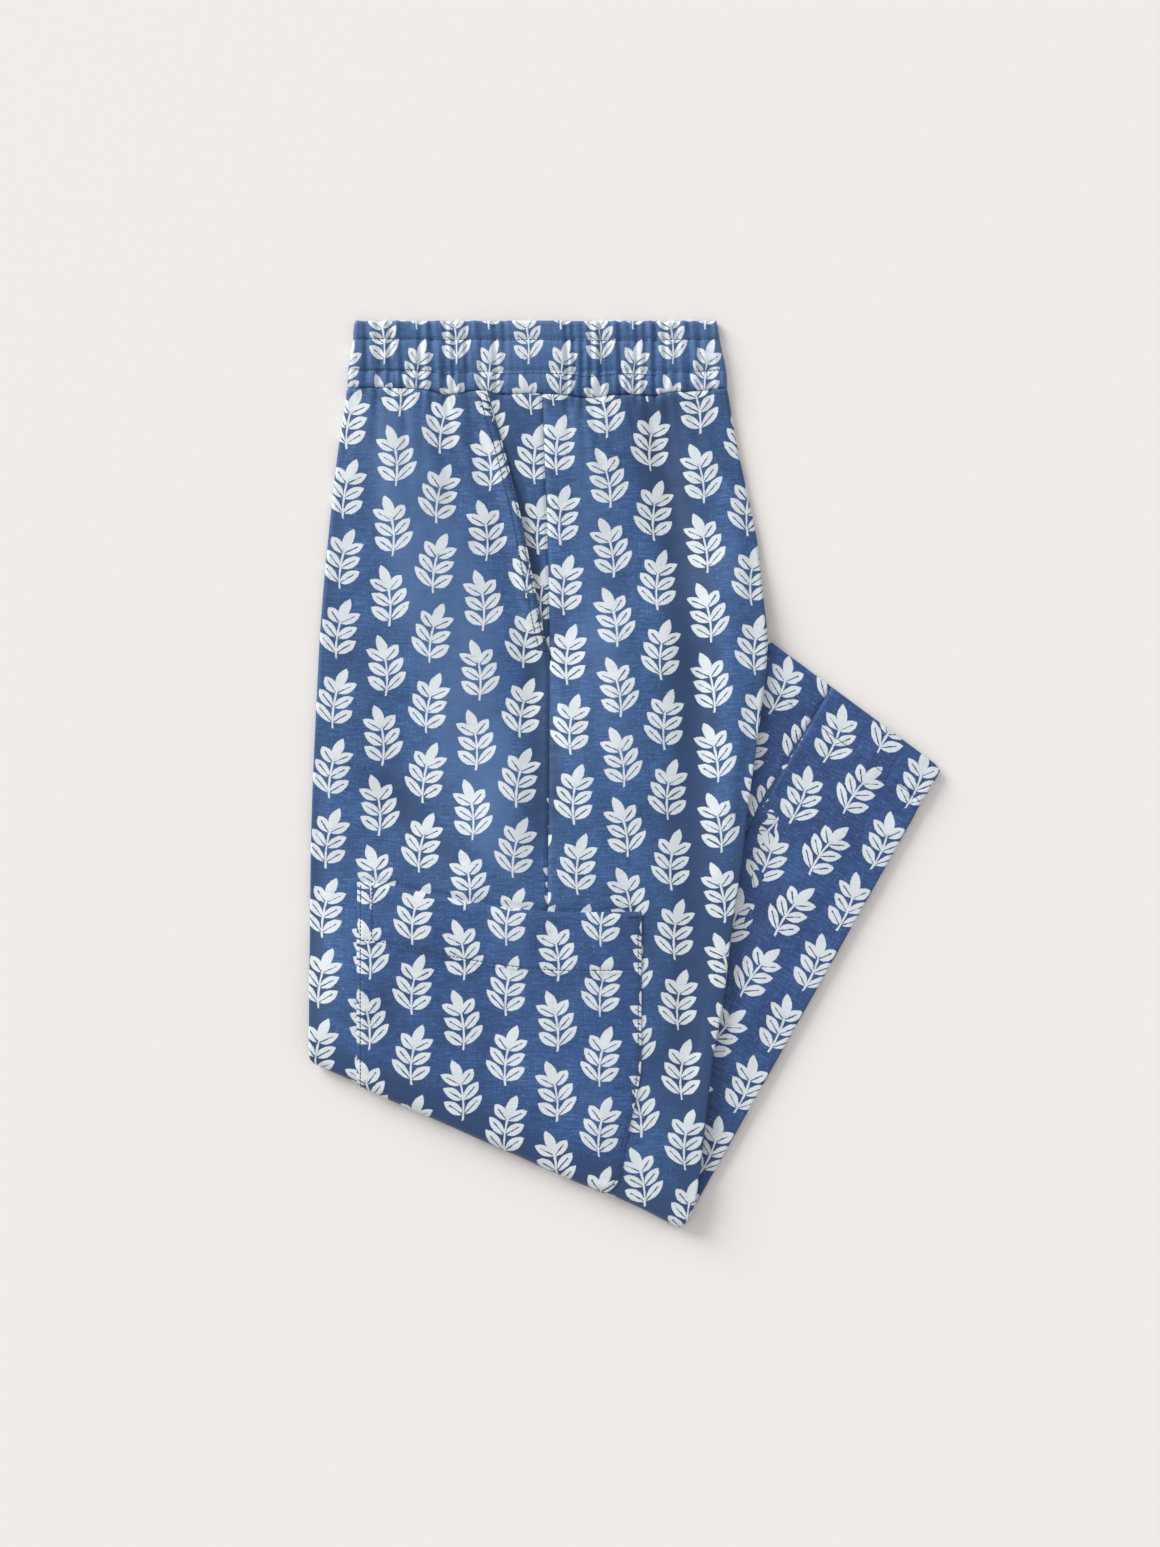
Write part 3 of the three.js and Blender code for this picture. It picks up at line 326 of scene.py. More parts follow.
def stack_height(down):
    return read(STACK_HEIGHT, "down", "height", down)


def edge_radius(down):
    return stack_height(down) * lerp(1 / 2, 1 / 4, in_legs(down))


def edge_turn(down):
    return np.radians(lerp(*EDGE_TURN, in_legs(down)))


def knee_tangent_down(x):
    across = (x - KNEE["x"]) * math.sin(KNEE["slope"])
    return KNEE["down"] + (across - KNEE["radius"]) / math.cos(KNEE["slope"])


def pillow_at(down):
    return PILLOW["height"] * smoothstep(down, PILLOW["from"], PILLOW["to"])


def relief(x, down):
    """The soft folds, the gathers and the small unevenness of linen that has been used and washed."""
    to_edge = np.minimum(x - edge_at("left", down), edge_at("right", down) - x)
    to_knee = knee_tangent_down(x) - down
    below = np.maximum(0, down - seam_down_at(x))
    height = gathers_at(x, below)
    for fold in LEG_FOLDS:
        height = height + fold_at(fold, x, down) * smoothstep(below, *FADE_IN["folds"])
    wrinkles = 0.0
    for tall, size, across, along, seed in WRINKLES:
        wrinkles = wrinkles + tall * crumple(x * across, down * along, size, seed)
    height = height + smoothstep(below, *FADE_IN["wrinkles"]) * wrinkles
    pillow = pillow_at(down) * smoothstep(to_edge, 0, PILLOW["edge"])
    pillow = pillow * smoothstep(to_knee, 0, PILLOW["knee"])
    return height * smoothstep(to_edge, *FADE_IN["side"]) * smoothstep(to_knee, *FADE_IN["knee"]) + pillow


def round_the_knee(x, down, flat_height, over):
    """Past the knee line, points at a height over the outer face turn round the fold, and the right
    edge is tucked in a little."""
    past = np.maximum((down - knee_tangent_down(x)) * math.cos(KNEE["slope"]), 0)
    near_edge = smoothstep(x, edge_at("right", down) - KNEE_TUCK["wide"], edge_at("right", down))
    x = x - KNEE_TUCK["by"] * near_edge * smoothstep(past, *KNEE_TUCK["past"])
    bend = past / KNEE["radius"]
    reach = KNEE["radius"] + over
    out = np.where(past > 0, reach * np.sin(bend) - past, 0)
    z = np.where(past > 0, KNEE["radius"] + reach * np.cos(bend), flat_height + over)
    return np.stack([x + KNEE_OUT[0] * out, WAIST_Y - down + KNEE_OUT[1] * out, z], axis=-1)


def on_leg(x, down, lift=0.0, puff=0.0):
    """Lays points of the left leg's cloth: x across, down from the waist, lift over its outer face."""
    radius = edge_radius(down)
    left, right = edge_at("left", down) + radius, edge_at("right", down) - radius
    turn = np.maximum(np.maximum(left - x, x - right), 0) / radius
    reach = radius + lift
    rolled_x = np.where(x < left, left - reach * np.sin(turn), right + reach * np.sin(turn))
    plan_x = np.where(turn > 0, rolled_x, x)
    over = np.where(turn > 0, reach * np.cos(turn) - radius, lift) + puff
    inside = np.clip(plan_x, left, right)
    crown = lift_below(inside, down) + stack_height(down) + relief(inside, down)
    return round_the_knee(plan_x, down, crown, over)


print("knee fold radius", round(KNEE["radius"], 2), "mm")

# %% [markdown]
# Every sheet is made the same way: a grid of points for its outer face, the same grid moved in by
# the cloth's thickness, and a small rounded rim between the two. The grid's flat places become its
# UV map, in metres of cut cloth, so the weave and the print follow the grain of each piece. Each
# point of the upper pieces also gets a value of painted light and shade, which is high on raised
# folds, where the blue is painted paler, and low in the creases, where painted shade darkens it.

# %% Make a sheet of cloth from a grid
CLOTH_THICK = 0.9
ABOVE_FLOOR = 0.02
# Painted light and shade on the folds: the fold height that stays unpainted, how much paler the waistband
# is painted and where that ends, and the height over which it goes to full paleness or full shade.
PAINTED_SHADING = {"level": 1.1, "band": 3.3, "band_end": (45.0, 60.0), "reach": 2.9}


def grid_normals(grid):
    """Rows run down and columns run right, so these point up from a face that looks up."""
    normal = np.cross(np.gradient(grid, axis=0), np.gradient(grid, axis=1))
    return normal / np.maximum(np.linalg.norm(normal, axis=-1, keepdims=True), 1e-9)


def rim_places(rows, columns):
    top = [(0, c) for c in range(columns)]
    right = [(r, columns - 1) for r in range(1, rows)]
    bottom = [(rows - 1, c) for c in range(columns - 2, -1, -1)]
    left = [(r, 0) for r in range(rows - 2, 0, -1)]
    return np.array(top + right + bottom + left)


def painted_shading(points):
    """Painted light and shade at each point: above 0 paler on the high folds, below 0 darker in the
    creases.
    """
    x, down = points[:, 0], WAIST_Y - points[:, 1]
    # The waistband is painted paler than the leg: painted light.
    painted_light_band = 1 - smoothstep(down, *PAINTED_SHADING["band_end"])
    level = PAINTED_SHADING["level"] - PAINTED_SHADING["band"] * painted_light_band + pillow_at(down)
    return np.clip((relief(x, down) - level) / PAINTED_SHADING["reach"], -1, 1)


def add_mesh(name, points, faces, flat, material, material_slot="printed_linen", painted_shadow=0.0):
    """The last argument is 1 or more where the cloth gets a painted shadow, as beside the pocket's mouth.
    """
    mesh = bpy.data.meshes.new(name)
    mesh.from_pydata((np.asarray(points) * MM).tolist(), [], np.asarray(faces).tolist())
    # Upper pieces get painted light and shade as a point attribute, minus any painted shadow.
    if material_slot == "printed_linen" and material != linen_across:
        painted_shading_attribute = mesh.attributes.new("painted_shading", "FLOAT", "POINT")
        painted_shading_attribute.data.foreach_set("value", np.clip(painted_shading(points) - painted_shadow, -1, 1).astype(np.float32))
    layer = mesh.uv_layers.new(name="cut_cloth")
    order = np.zeros(len(mesh.loops), int)
    mesh.loops.foreach_get("vertex_index", order)
    layer.data.foreach_set("uv", (np.asarray(flat)[order] * MM).astype(np.float32).ravel())
    mesh.shade_smooth()
    mesh.materials.append(material)
    piece = bpy.data.objects.new(name, mesh)
    bpy.context.scene.collection.objects.link(piece)
    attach(piece, "root")
    print(name, len(mesh.polygons), "faces")
    return piece


def sheet_parts(grid, flat, thick=CLOTH_THICK, rim_steps=1, looks_down=False):
    """Points, faces and flat places of a closed sheet whose outer face is the grid."""
    rows, columns = grid.shape[:2]
    side = -1 if looks_down else 1
    inner = grid - thick * side * grid_normals(grid)
    number = np.arange(rows * columns).reshape(rows, columns)
    rim = rim_places(rows, columns)
    edge = number[rim[:, 0], rim[:, 1]]
    inward = np.clip(rim, 1, [rows - 2, columns - 2])
    outward = grid[rim[:, 0], rim[:, 1]] - grid[inward[:, 0], inward[:, 1]]
    outward /= np.maximum(np.linalg.norm(outward, axis=-1, keepdims=True), 1e-9)
    top, low = grid.reshape(-1, 3)[edge], inner.reshape(-1, 3)[edge]
    rings = []
    for step in range(1, rim_steps + 1):
        turn = math.pi * step / (rim_steps + 1)
        across = (1 - math.cos(turn)) / 2
        rings.append(lerp(top, low, across) + outward * (thick / 2 * math.sin(turn)))
    count = rows * columns
    points = np.concatenate([grid.reshape(-1, 3), inner.reshape(-1, 3), *rings])
    places = flat.reshape(-1, 2)
    places = np.concatenate([places, places, *[places[edge]] * rim_steps])
    cells = [number[:-1, :-1], number[1:, :-1], number[1:, 1:], number[:-1, 1:]]
    quads = np.stack(cells, axis=-1).reshape(-1, 4)
    between = [2 * count + step * len(edge) + np.arange(len(edge)) for step in range(rim_steps)]
    loops = [edge, *between, count + edge]
    faces = [quads, quads[:, ::-1] + count]
    for one, other in zip(loops, loops[1:]):
        faces.append(np.stack([one, np.roll(one, -1), np.roll(other, -1), other], axis=-1))
    return points, np.concatenate(faces)[:, ::side], places


def flat_places(across, down, degrees, shift):
    """Places on the cut cloth, turned so that the grain of a piece leans as it was cut."""
    angle = math.radians(degrees)
    u = across * math.cos(angle) + down * math.sin(angle)
    v = across * math.sin(angle) - down * math.cos(angle)
    return np.stack([u + shift[0], v + shift[1]], axis=-1)


def closing_shares(count, length, near):
    """Even shares from 0 to 1 with extra ones at the given distances from the end, in mm."""
    even = np.linspace(0, 1, count)
    close = 1 - np.array(near) / length
    return np.unique(np.concatenate([even[even < close.min() - 0.3 / count], close, [1.0]]))


# %% [markdown]
# Linen is a plain weave of uneven yarn. Where a yarn is thick it makes a slub, a short streak along
# the grain, and where dye has missed it, a pale fleck. One node group gives this to every material
# that is linen. It reads the UV map, which is in metres of cut cloth, so the yarns have their real
# size on every piece.

# %% Node sums and kinds of noise
NOISES = {
    # cycles in a metre across and along the piece, detail, roughness
    "weft slub": (80.0, 700.0, 3.0, 0.62),
    "warp slub": (800.0, 90.0, 3.0, 0.6),
    "cloud": (26.0, 26.0, 2.0, 0.5),
    "fleck": (330.0, 1500.0, 1.0, 0.5),
    "fray": (900.0, 1500.0, 2.0, 0.6),
    "wander": (160.0, 160.0, 1.0, 0.5),
}


class Wire:
    """A value in a node tree. Adding or multiplying two of them places the node for it."""

    def __init__(self, tree, socket):
        self.tree = tree
        self.socket = socket

    def do(self, operation, other=None):
        node = self.tree.nodes.new("ShaderNodeMath")
        node.operation = operation
        for socket, value in zip(node.inputs, (self, other)):
            if isinstance(value, Wire):
                self.tree.links.new(value.socket, socket)
            elif value is not None:
                socket.default_value = value
        return Wire(self.tree, node.outputs[0])

    def __add__(self, other):
        return self.do("ADD", other)

    def __sub__(self, other):
        return self.do("SUBTRACT", other)

    def __mul__(self, other):
        return self.do("MULTIPLY", other)

    def __truediv__(self, other):
        return self.do("DIVIDE", other)

    def smooth(self, low, high):
        node = self.tree.nodes.new("ShaderNodeMapRange")
        node.interpolation_type = "SMOOTHSTEP"
        self.tree.links.new(self.socket, node.inputs["Value"])
        for name, value in (("From Min", low), ("From Max", high)):
            node.inputs[name].default_value = value
        return Wire(self.tree, node.outputs["Result"])


def new_group(name, values_in, values_out):
    group = bpy.data.node_groups.new(name, "ShaderNodeTree")
    group.interface.new_socket("Cut Cloth", in_out="INPUT", socket_type="NodeSocketVector")
    for label in values_in:
        group.interface.new_socket(label, in_out="INPUT", socket_type="NodeSocketFloat")
    for label in values_out:
        group.interface.new_socket(label, in_out="OUTPUT", socket_type="NodeSocketFloat")
    inlet = group.nodes.new("NodeGroupInput")
    outlet = group.nodes.new("NodeGroupOutput")
    apart = group.nodes.new("ShaderNodeSeparateXYZ")
    group.links.new(inlet.outputs["Cut Cloth"], apart.inputs[0])
    place = [Wire(group, apart.outputs[0]), Wire(group, apart.outputs[1])]
    values = {label: Wire(group, inlet.outputs[label]) for label in values_in}
    return group, place, values, outlet


def noise(tree, u, v, kind):
    """One kind of noise at a place given by two wires, in metres."""
    across, along, detail, roughness = NOISES[kind]
    cycles = [u * across, v * along]
    together = tree.nodes.new("ShaderNodeCombineXYZ")
    tree.links.new(cycles[0].socket, together.inputs[0])
    tree.links.new(cycles[1].socket, together.inputs[1])
    texture = tree.nodes.new("ShaderNodeTexNoise")
    texture.noise_dimensions = "2D"
    texture.inputs["Scale"].default_value = 1.0
    texture.inputs["Detail"].default_value = detail
    texture.inputs["Roughness"].default_value = roughness
    tree.links.new(together.outputs[0], texture.inputs["Vector"])
    return Wire(tree, texture.outputs["Fac"])


# %% Linen weave group
TONE = {"weft": 1.25, "warp": 0.6, "cloud": 0.6}
WEAVE_HEIGHT = {"yarn": 0.35, "slub": 0.9}
FLECK_RANGE = (0.66, 0.82)


def make_linen_weave():
    labels_in, labels_out = ["Yarn Pitch", "Slub"], ["Height", "Tone", "Fleck"]
    group, (u, v), value, outlet = new_group("linen_weave", labels_in, labels_out)
    turn_u = u / value["Yarn Pitch"] * math.pi
    turn_v = v / value["Yarn Pitch"] * math.pi
    over_under = turn_u.do("SINE") * turn_v.do("SINE")
    weft_slub = noise(group, u, v, "weft slub")
    warp_slub = noise(group, u, v, "warp slub")
    cloudy = noise(group, u, v, "cloud")
    slubs = (weft_slub - 0.5) * TONE["weft"] + (warp_slub - 0.5) * TONE["warp"]
    tone = slubs * value["Slub"] + (cloudy - 0.5) * TONE["cloud"]
    fleck = noise(group, u, v, "fleck").smooth(*FLECK_RANGE)
    height = over_under * WEAVE_HEIGHT["yarn"] + slubs * WEAVE_HEIGHT["slub"]
    for label, wire in zip(labels_out, (height, tone, fleck)):
        group.links.new(wire.socket, outlet.inputs[label])
    return group


linen_weave = make_linen_weave()
print("linen_weave has", len(linen_weave.nodes), "nodes")

# %% [markdown]
# The cloth is block printed in white on blue. The print here is a plain leaf sprig: a stem with
# three pairs of leaves and one at its tip, in half-drop rows, each second column mirrored. A leaf
# is the lens where two circles overlap. Folding the place at the stem draws both sides at once, and
# counting it off along the stem repeats the pair.

# %% Leaf sprig group
SPRIG = {"column": 0.0352, "row": 0.0525, "lean": math.radians(11.0), "bend": 6.5, "aside": 0.0008}
LEAF = {"rise": math.radians(40.0), "pitch": 0.0112, "long": 0.0168, "half": 0.0039, "first": 0.0085}
LEAF_CUT = {"taper": 0.09, "gap": 0.0006, "vein": 0.00042, "vein_end": 0.72}
STEM = {"half": 0.00075, "top": 0.006, "foot": 0.0235}
PRINT_EDGE = {"soft": 0.00028, "wander": 0.0009}
TIP_LEAF = {"from": 0.0050, "long": 0.0175, "half": 0.0040}


def lens_distance(along, across, long, half):
    """Distance outside a leaf that runs from 0 to long, with its widest half-width given."""
    circle = (long * long / 4 + half * half) / (2 * half)
    off_axis = across.do("ABSOLUTE") + (circle - half)
    middle = along - long / 2
    return (middle * middle + off_axis * off_axis).do("SQRT") - circle


def make_leaf_sprig():
    group, (u, v), value, outlet = new_group("leaf_sprig", ["Edge Wear"], ["Print"])
    column = (u / SPRIG["column"]).do("FLOOR")
    odd = column.do("FLOORED_MODULO", 2.0)
    mirror = odd * -2.0 + 1.0
    across = (u - (column + 0.5) * SPRIG["column"]) * mirror
    drop = v + odd * (SPRIG["row"] / 2)
    up = drop.do("FLOORED_MODULO", SPRIG["row"]) - SPRIG["row"] / 2
    x = across * math.cos(SPRIG["lean"]) - up * math.sin(SPRIG["lean"])
    y = across * math.sin(SPRIG["lean"]) + up * math.cos(SPRIG["lean"])
    x = x - y * y * SPRIG["bend"] + SPRIG["aside"]
    beside = x.do("ABSOLUTE")
    rise = y - beside * math.tan(LEAF["rise"]) + LEAF["first"]
    pair = (rise / LEAF["pitch"]).do("ROUND").do("MAXIMUM", -1.0).do("MINIMUM", 1.0)
    band = rise - pair * LEAF["pitch"]
    shrink = pair * LEAF_CUT["taper"] + 1.0
    out = beside / math.cos(LEAF["rise"]) + band * math.sin(LEAF["rise"])
    along = out * shrink - LEAF_CUT["gap"]
    leaf_across = band * math.cos(LEAF["rise"])
    leaf = lens_distance(along, leaf_across, LEAF["long"], LEAF["half"])
    past_vein = along - LEAF["long"] * LEAF_CUT["vein_end"]
    vein = (leaf_across.do("ABSOLUTE") - LEAF_CUT["vein"]).do("MAXIMUM", past_vein)
    leaf = leaf.do("MAXIMUM", vein * -1.0)
    tip = lens_distance(y - TIP_LEAF["from"], x, TIP_LEAF["long"], TIP_LEAF["half"])
    stem = (beside - STEM["half"]).do("MAXIMUM", y - STEM["top"])
    stem = stem.do("MAXIMUM", (y + STEM["foot"]) * -1.0)
    sprig = leaf.do("MINIMUM", tip).do("MINIMUM", stem)
    fray = (noise(group, u, v, "fray") - 0.5) * value["Edge Wear"]
    wander = (noise(group, u, v, "wander") - 0.5) * PRINT_EDGE["wander"]
    covered = (sprig + fray + wander).smooth(PRINT_EDGE["soft"], -PRINT_EDGE["soft"])
    group.links.new(covered.socket, outlet.inputs["Print"])
    return group


leaf_sprig = make_leaf_sprig()
print("leaf_sprig has", len(leaf_sprig.nodes), "nodes")

# %% [markdown]
# The material mixes the blue ground and the white print by the sprig mask, darkens and lightens
# both by the yarn's tone, and lets the weave raise a fine bump. The white is thinner where a slub
# dips, so blue grains show in it. A little sheen gives the soft bloom of washed linen. The blue is
# painted paler on raised folds as painted light and deeper in creases as painted shade. Three blues
# are made, each darker than the last: for the legs and the waistband, for the cargo pocket, and for
# the lower and hidden layers.

# %% Printed linen and thread
WHITE_PRINT = (0.650, 0.705, 0.735)
FLECK = (0.30, 0.40, 0.56)
FLECK_SHARE = 0.55
WEAVE = {"Yarn Pitch": 0.00052, "Slub": 1.0}
YARN = {"dark": 0.62, "pale": 1.5, "more": 0.02, "reach": 0.34, "share": 0.9}
# Painted shade in the creases and painted light on the high folds: how deep and how pale the blue is
# painted.
PAINTED_SHADING_BLUES = {"deep": 0.64, "painted_light": 1.12, "more": (0.034, 0.042, 0.046), "share": 0.75}
THIN_PRINT = {"white": 0.62, "range": (0.10, 0.50), "share": 0.6}
EDGE_WEAR = 0.0011
LINEN_SURFACE = {"Roughness": 0.55, "Specular IOR Level": 0.5, "Sheen Weight": 0.12, "Sheen Roughness": 0.5}
WEAVE_BUMP = {"Strength": 0.7, "Distance": 0.00025}
THREAD = {"grain": 900.0, "roughness": 0.6}
THREAD_COLOURS = [(0.012, 0.026, 0.070, 1), (0.040, 0.070, 0.150, 1)]


def printed_linen(name, blue):
    material = bpy.data.materials.new(name)
    material.use_nodes = True
    tree = material.node_tree
    shader = tree.nodes["Principled BSDF"]
    place = tree.nodes.new("ShaderNodeUVMap")
    place.uv_map = "cut_cloth"
    weave = tree.nodes.new("ShaderNodeGroup")
    weave.node_tree = linen_weave
    for label, value in WEAVE.items():
        weave.inputs[label].default_value = value
    sprig = tree.nodes.new("ShaderNodeGroup")
    sprig.node_tree = leaf_sprig
    sprig.inputs["Edge Wear"].default_value = EDGE_WEAR
    for group in (weave, sprig):
        tree.links.new(place.outputs["UV"], group.inputs["Cut Cloth"])
    tone = Wire(tree, weave.outputs["Tone"])

    def mixed(factor, first, second):
        node = tree.nodes.new("ShaderNodeMix")
        node.data_type = "RGBA"
        tree.links.new(factor.socket, node.inputs[0])
        for socket, colour in ((node.inputs[6], first), (node.inputs[7], second)):
            if isinstance(colour, tuple):
                socket.default_value = (*colour, 1)
            else:
                tree.links.new(colour, socket)
        return node.outputs[2]

    ground = mixed(Wire(tree, weave.outputs["Fleck"]) * FLECK_SHARE, blue, FLECK)
    dark_yarn = tuple(c * YARN["dark"] for c in blue)
    ground = mixed((tone * -1.0).smooth(0.0, YARN["reach"]) * YARN["share"], ground, dark_yarn)
    pale_yarn = tuple(min(1.0, c * YARN["pale"] + YARN["more"]) for c in blue)
    ground = mixed(tone.smooth(0.0, YARN["reach"]) * YARN["share"], ground, pale_yarn)
    # Painted light and shade from the point attribute: a deeper blue as painted shade in the creases, a
    # paler blue as painted light on the high folds.
    painted_shading_attribute = tree.nodes.new("ShaderNodeAttribute")
    painted_shading_attribute.attribute_name = "painted_shading"
    painted_shading_attribute = Wire(tree, painted_shading_attribute.outputs["Fac"])
    deep = tuple(c * PAINTED_SHADING_BLUES["deep"] for c in blue)
    ground = mixed((painted_shading_attribute * -1.0).smooth(0.0, 1.0), ground, deep)
    painted_light = tuple(c * PAINTED_SHADING_BLUES["painted_light"] + more for c, more in zip(blue, PAINTED_SHADING_BLUES["more"]))
    ground = mixed(painted_shading_attribute.smooth(0.0, 1.0) * PAINTED_SHADING_BLUES["share"], ground, painted_light)
    thin = THIN_PRINT["white"]
    thin_white = tuple(thin * w + (1 - thin) * b for w, b in zip(WHITE_PRINT, blue))
    thinned = (tone * -1.0).smooth(*THIN_PRINT["range"]) * THIN_PRINT["share"]
    white = mixed(thinned, WHITE_PRINT, thin_white)
    cloth = mixed(Wire(tree, sprig.outputs["Print"]), ground, white)
    tree.links.new(cloth, shader.inputs["Base Color"])
    for label, value in LINEN_SURFACE.items():
        shader.inputs[label].default_value = value
    bump = tree.nodes.new("ShaderNodeBump")
    for label, value in WEAVE_BUMP.items():
        bump.inputs[label].default_value = value
    tree.links.new(weave.outputs["Height"], bump.inputs["Height"])
    tree.links.new(bump.outputs["Normal"], shader.inputs["Normal"])
    return material


linen = printed_linen("printed_linen", (0.0165, 0.0765, 0.222))
linen_pocket = printed_linen("printed_linen_pocket", (0.0128, 0.0655, 0.210))
linen_across = printed_linen("printed_linen_across", (0.0105, 0.0548, 0.190))


def sewing_thread():
    material = bpy.data.materials.new("navy_thread")
    material.use_nodes = True
    tree = material.node_tree
    shader = tree.nodes["Principled BSDF"]
    texture = tree.nodes.new("ShaderNodeTexNoise")
    texture.inputs["Scale"].default_value = THREAD["grain"]
    texture.inputs["Detail"].default_value = 2.0
    ramp = tree.nodes.new("ShaderNodeValToRGB")
    for element, colour in zip(ramp.color_ramp.elements, THREAD_COLOURS):
        element.color = colour
    tree.links.new(texture.outputs["Fac"], ramp.inputs["Fac"])
    tree.links.new(ramp.outputs["Color"], shader.inputs["Base Color"])
    shader.inputs["Roughness"].default_value = THREAD["roughness"]
    return material


navy_thread = sewing_thread()
print("materials", [m.name for m in bpy.data.materials])

# %% [markdown]
# A leg panel is cut from the waist seam to the knee and beyond. Its columns run down the leg, from
# the edge where the leg is folded to the side seam, and its rows lean gently from the waist seam to
# the knee line. Rows are added where the cloth turns round the knee, and columns where it rolls
# round the side edge and into the seam.

# %% Rows and columns of a leg panel
WAIST_SEAM_GAP = 0.6
SEAM_GAP = 0.5
SEAM_ROLL = 1.1
ROLL_HALF = 1.5
NEAR_EDGE = np.array([0.5, 1.2, 2.2])
LEG_RUN = 500.0
KNEE_WRAP_END = 160.0
KNEE_WRAP_STEP = 9.0
PANEL_STEP = 1.75
DENT = {"left": (-201, -196), "right": (8, 13), "above": 1.5, "depth": 1.2, "half": 2.0}


def meet(share, turn, column_at):
    """Solves for the places where rows meet columns whose x depends on how far down they are."""
    share, turn = np.asarray(share)[:, None], np.radians(np.asarray(turn))[:, None]
    down = 100.0 + 0 * share * turn
    for _ in range(14):
        x = column_at(down)
        top = seam_down_at(x) + WAIST_SEAM_GAP / 2
        down = lerp(top, knee_tangent_down(x), share) + turn * KNEE["radius"] / math.cos(KNEE["slope"])
    return x, down


def leg_rows(first=0.0, last=1.0, wrap_end=KNEE_WRAP_END, step=PANEL_STEP):
    """Rows as shares of the way to the knee line, and then as degrees round the knee."""
    start = first + np.append(0.0, NEAR_EDGE) / LEG_RUN
    down_leg = np.arange(start[-1] + step / LEG_RUN, last - 0.4 * step / LEG_RUN, step / LEG_RUN)
    share = np.concatenate([start, down_leg])
    if wrap_end is None:
        return np.append(share, last), np.zeros(len(share) + 1)
    turn = np.append(np.arange(0, wrap_end, KNEE_WRAP_STEP), wrap_end)
    return np.append(share, np.full(len(turn), last)), np.append(np.zeros(len(share)), turn)


def panel_columns(side, border_at, width):
    """Column places from the turned edge to the sewn line, as a function of the distance down."""
    flat = closing_shares(int(width / PANEL_STEP), width, NEAR_EDGE)
    share = np.append(np.linspace(-1, 0, 14)[:-1], flat)
    sign = -1 if side == "left" else 1

    def column_at(down):
        radius = edge_radius(down)
        edge = edge_at(side, down) - sign * radius
        rolled_x = edge - sign * radius * edge_turn(down) * share
        return np.where(share < 0, rolled_x, lerp(edge, border_at(down), share))

    return column_at


def seam_line(down):
    return edge_at("seam", down)


def front_seam(down):
    return seam_line(down) - SEAM_GAP / 2


def front_border(down):
    return np.where(down < SLANT_EDGE["down"][-1], slant_at(down), front_seam(down))


def back_border(down):
    return seam_line(down) + SEAM_GAP / 2


def puckers(along, distance, reach, seed, height=0.16, size=7.0):
    """Small ripples that a line of stitches draws into the cloth beside it."""
    return height * crumple(along, 0 * along, size, seed) * bell(distance / reach)


def groove(distance, depth=0.4, half=1.1):
    return -depth * bell(distance / half)


def over_pocket(x, down):
    """The cloth dips along the top edge of the cargo pocket that is sewn onto it."""
    along = smoothstep(x, *DENT["left"]) * (1 - smoothstep(x, *DENT["right"]))
    return groove(down - pocket_top_at(x) + DENT["above"], DENT["depth"], DENT["half"]) * along


def rolled_in(*distances):
    """The face sinks where it rolls over its edges into a seam."""
    return -SEAM_ROLL * sum(bell(distance / ROLL_HALF) for distance in distances)


def waist_puckers(x, down, seed):
    return puckers(x, down - seam_down_at(x), 9.0, seed, 0.35, 6.0)


print(len(leg_rows()[0]), "rows")

# %% [markdown]
# The left front panel ends at the slanted mouth of the hip pocket. Its edge is turned under and
# stitched twice, and it stands a little off the facing behind it, most in the middle where hands
# have stretched it. Below the mouth it meets the back panel at the side seam, which is pressed
# towards the back, so the back stands a thread higher there.

# %% Left front and left back panels
MOUTH_RAISE = 1.4
MOUTH_SLOPE = (6.5, 16.0)
MOUTH_UNDER = 5.0
MOUTH_GAPE = {"down": 160.0, "reach": 60.0, "height": 3.3}
MOUTH_STITCH = (1.6, 6.6)
MOUTH_END = SLANT_EDGE["down"][-1]
MOUTH_CLOSES = (MOUTH_END - 2, MOUTH_END + 20)
SEAM_ALLOWANCE = {"end": (9.0, 11.0), "height": 0.3}
FRONT_GRAIN = 2.8
BACK_GRAIN = -2.8


def front_lift(x, down):
    to_slant = slant_at(down) - x
    in_mouth = 1 - smoothstep(down, *MOUTH_CLOSES)
    raised = MOUTH_RAISE + MOUTH_GAPE["height"] * bell((down - MOUTH_GAPE["down"]) / MOUTH_GAPE["reach"])
    lift = raised * (1 - smoothstep(to_slant, *MOUTH_SLOPE)) * in_mouth
    for place in MOUTH_STITCH:
        lift = lift + groove(to_slant - place, 0.35) * in_mouth
    lift = lift + puckers(down, to_slant - 4, 6.0, 21) * in_mouth
    to_seam = front_border(down) - x
    lift = lift + puckers(down, to_seam, 7.0, 22, 0.2) * (1 - in_mouth)
    lift = lift + waist_puckers(x, down, 23) + over_pocket(x, down)
    return lift + rolled_in(to_seam, down - seam_down_at(x))


def back_lift(x, down):
    to_seam = x - back_border(down)
    lift = SEAM_ALLOWANCE["height"] * (1 - smoothstep(to_seam, *SEAM_ALLOWANCE["end"]))
    lift = lift + puckers(down, to_seam, 7.0, 24, 0.2) + waist_puckers(x, down, 25) + over_pocket(x, down)
    return lift + rolled_in(to_seam, down - seam_down_at(x))


def front_face(x, down):
    return on_leg(x, down, front_lift(x, down))


def back_face(x, down):
    return on_leg(x, down, back_lift(x, down))


def make_leg_panel(name, face, columns, grain, shift, reverse=False):
    """reverse is for columns that start at the right edge, so that they run left to right again."""
    x, down = meet(*leg_rows(), columns)
    if reverse:
        x, down = x[:, ::-1], down[:, ::-1]
    return add_mesh(name, *sheet_parts(face(x, down), flat_places(x, down, grain, shift)), linen)


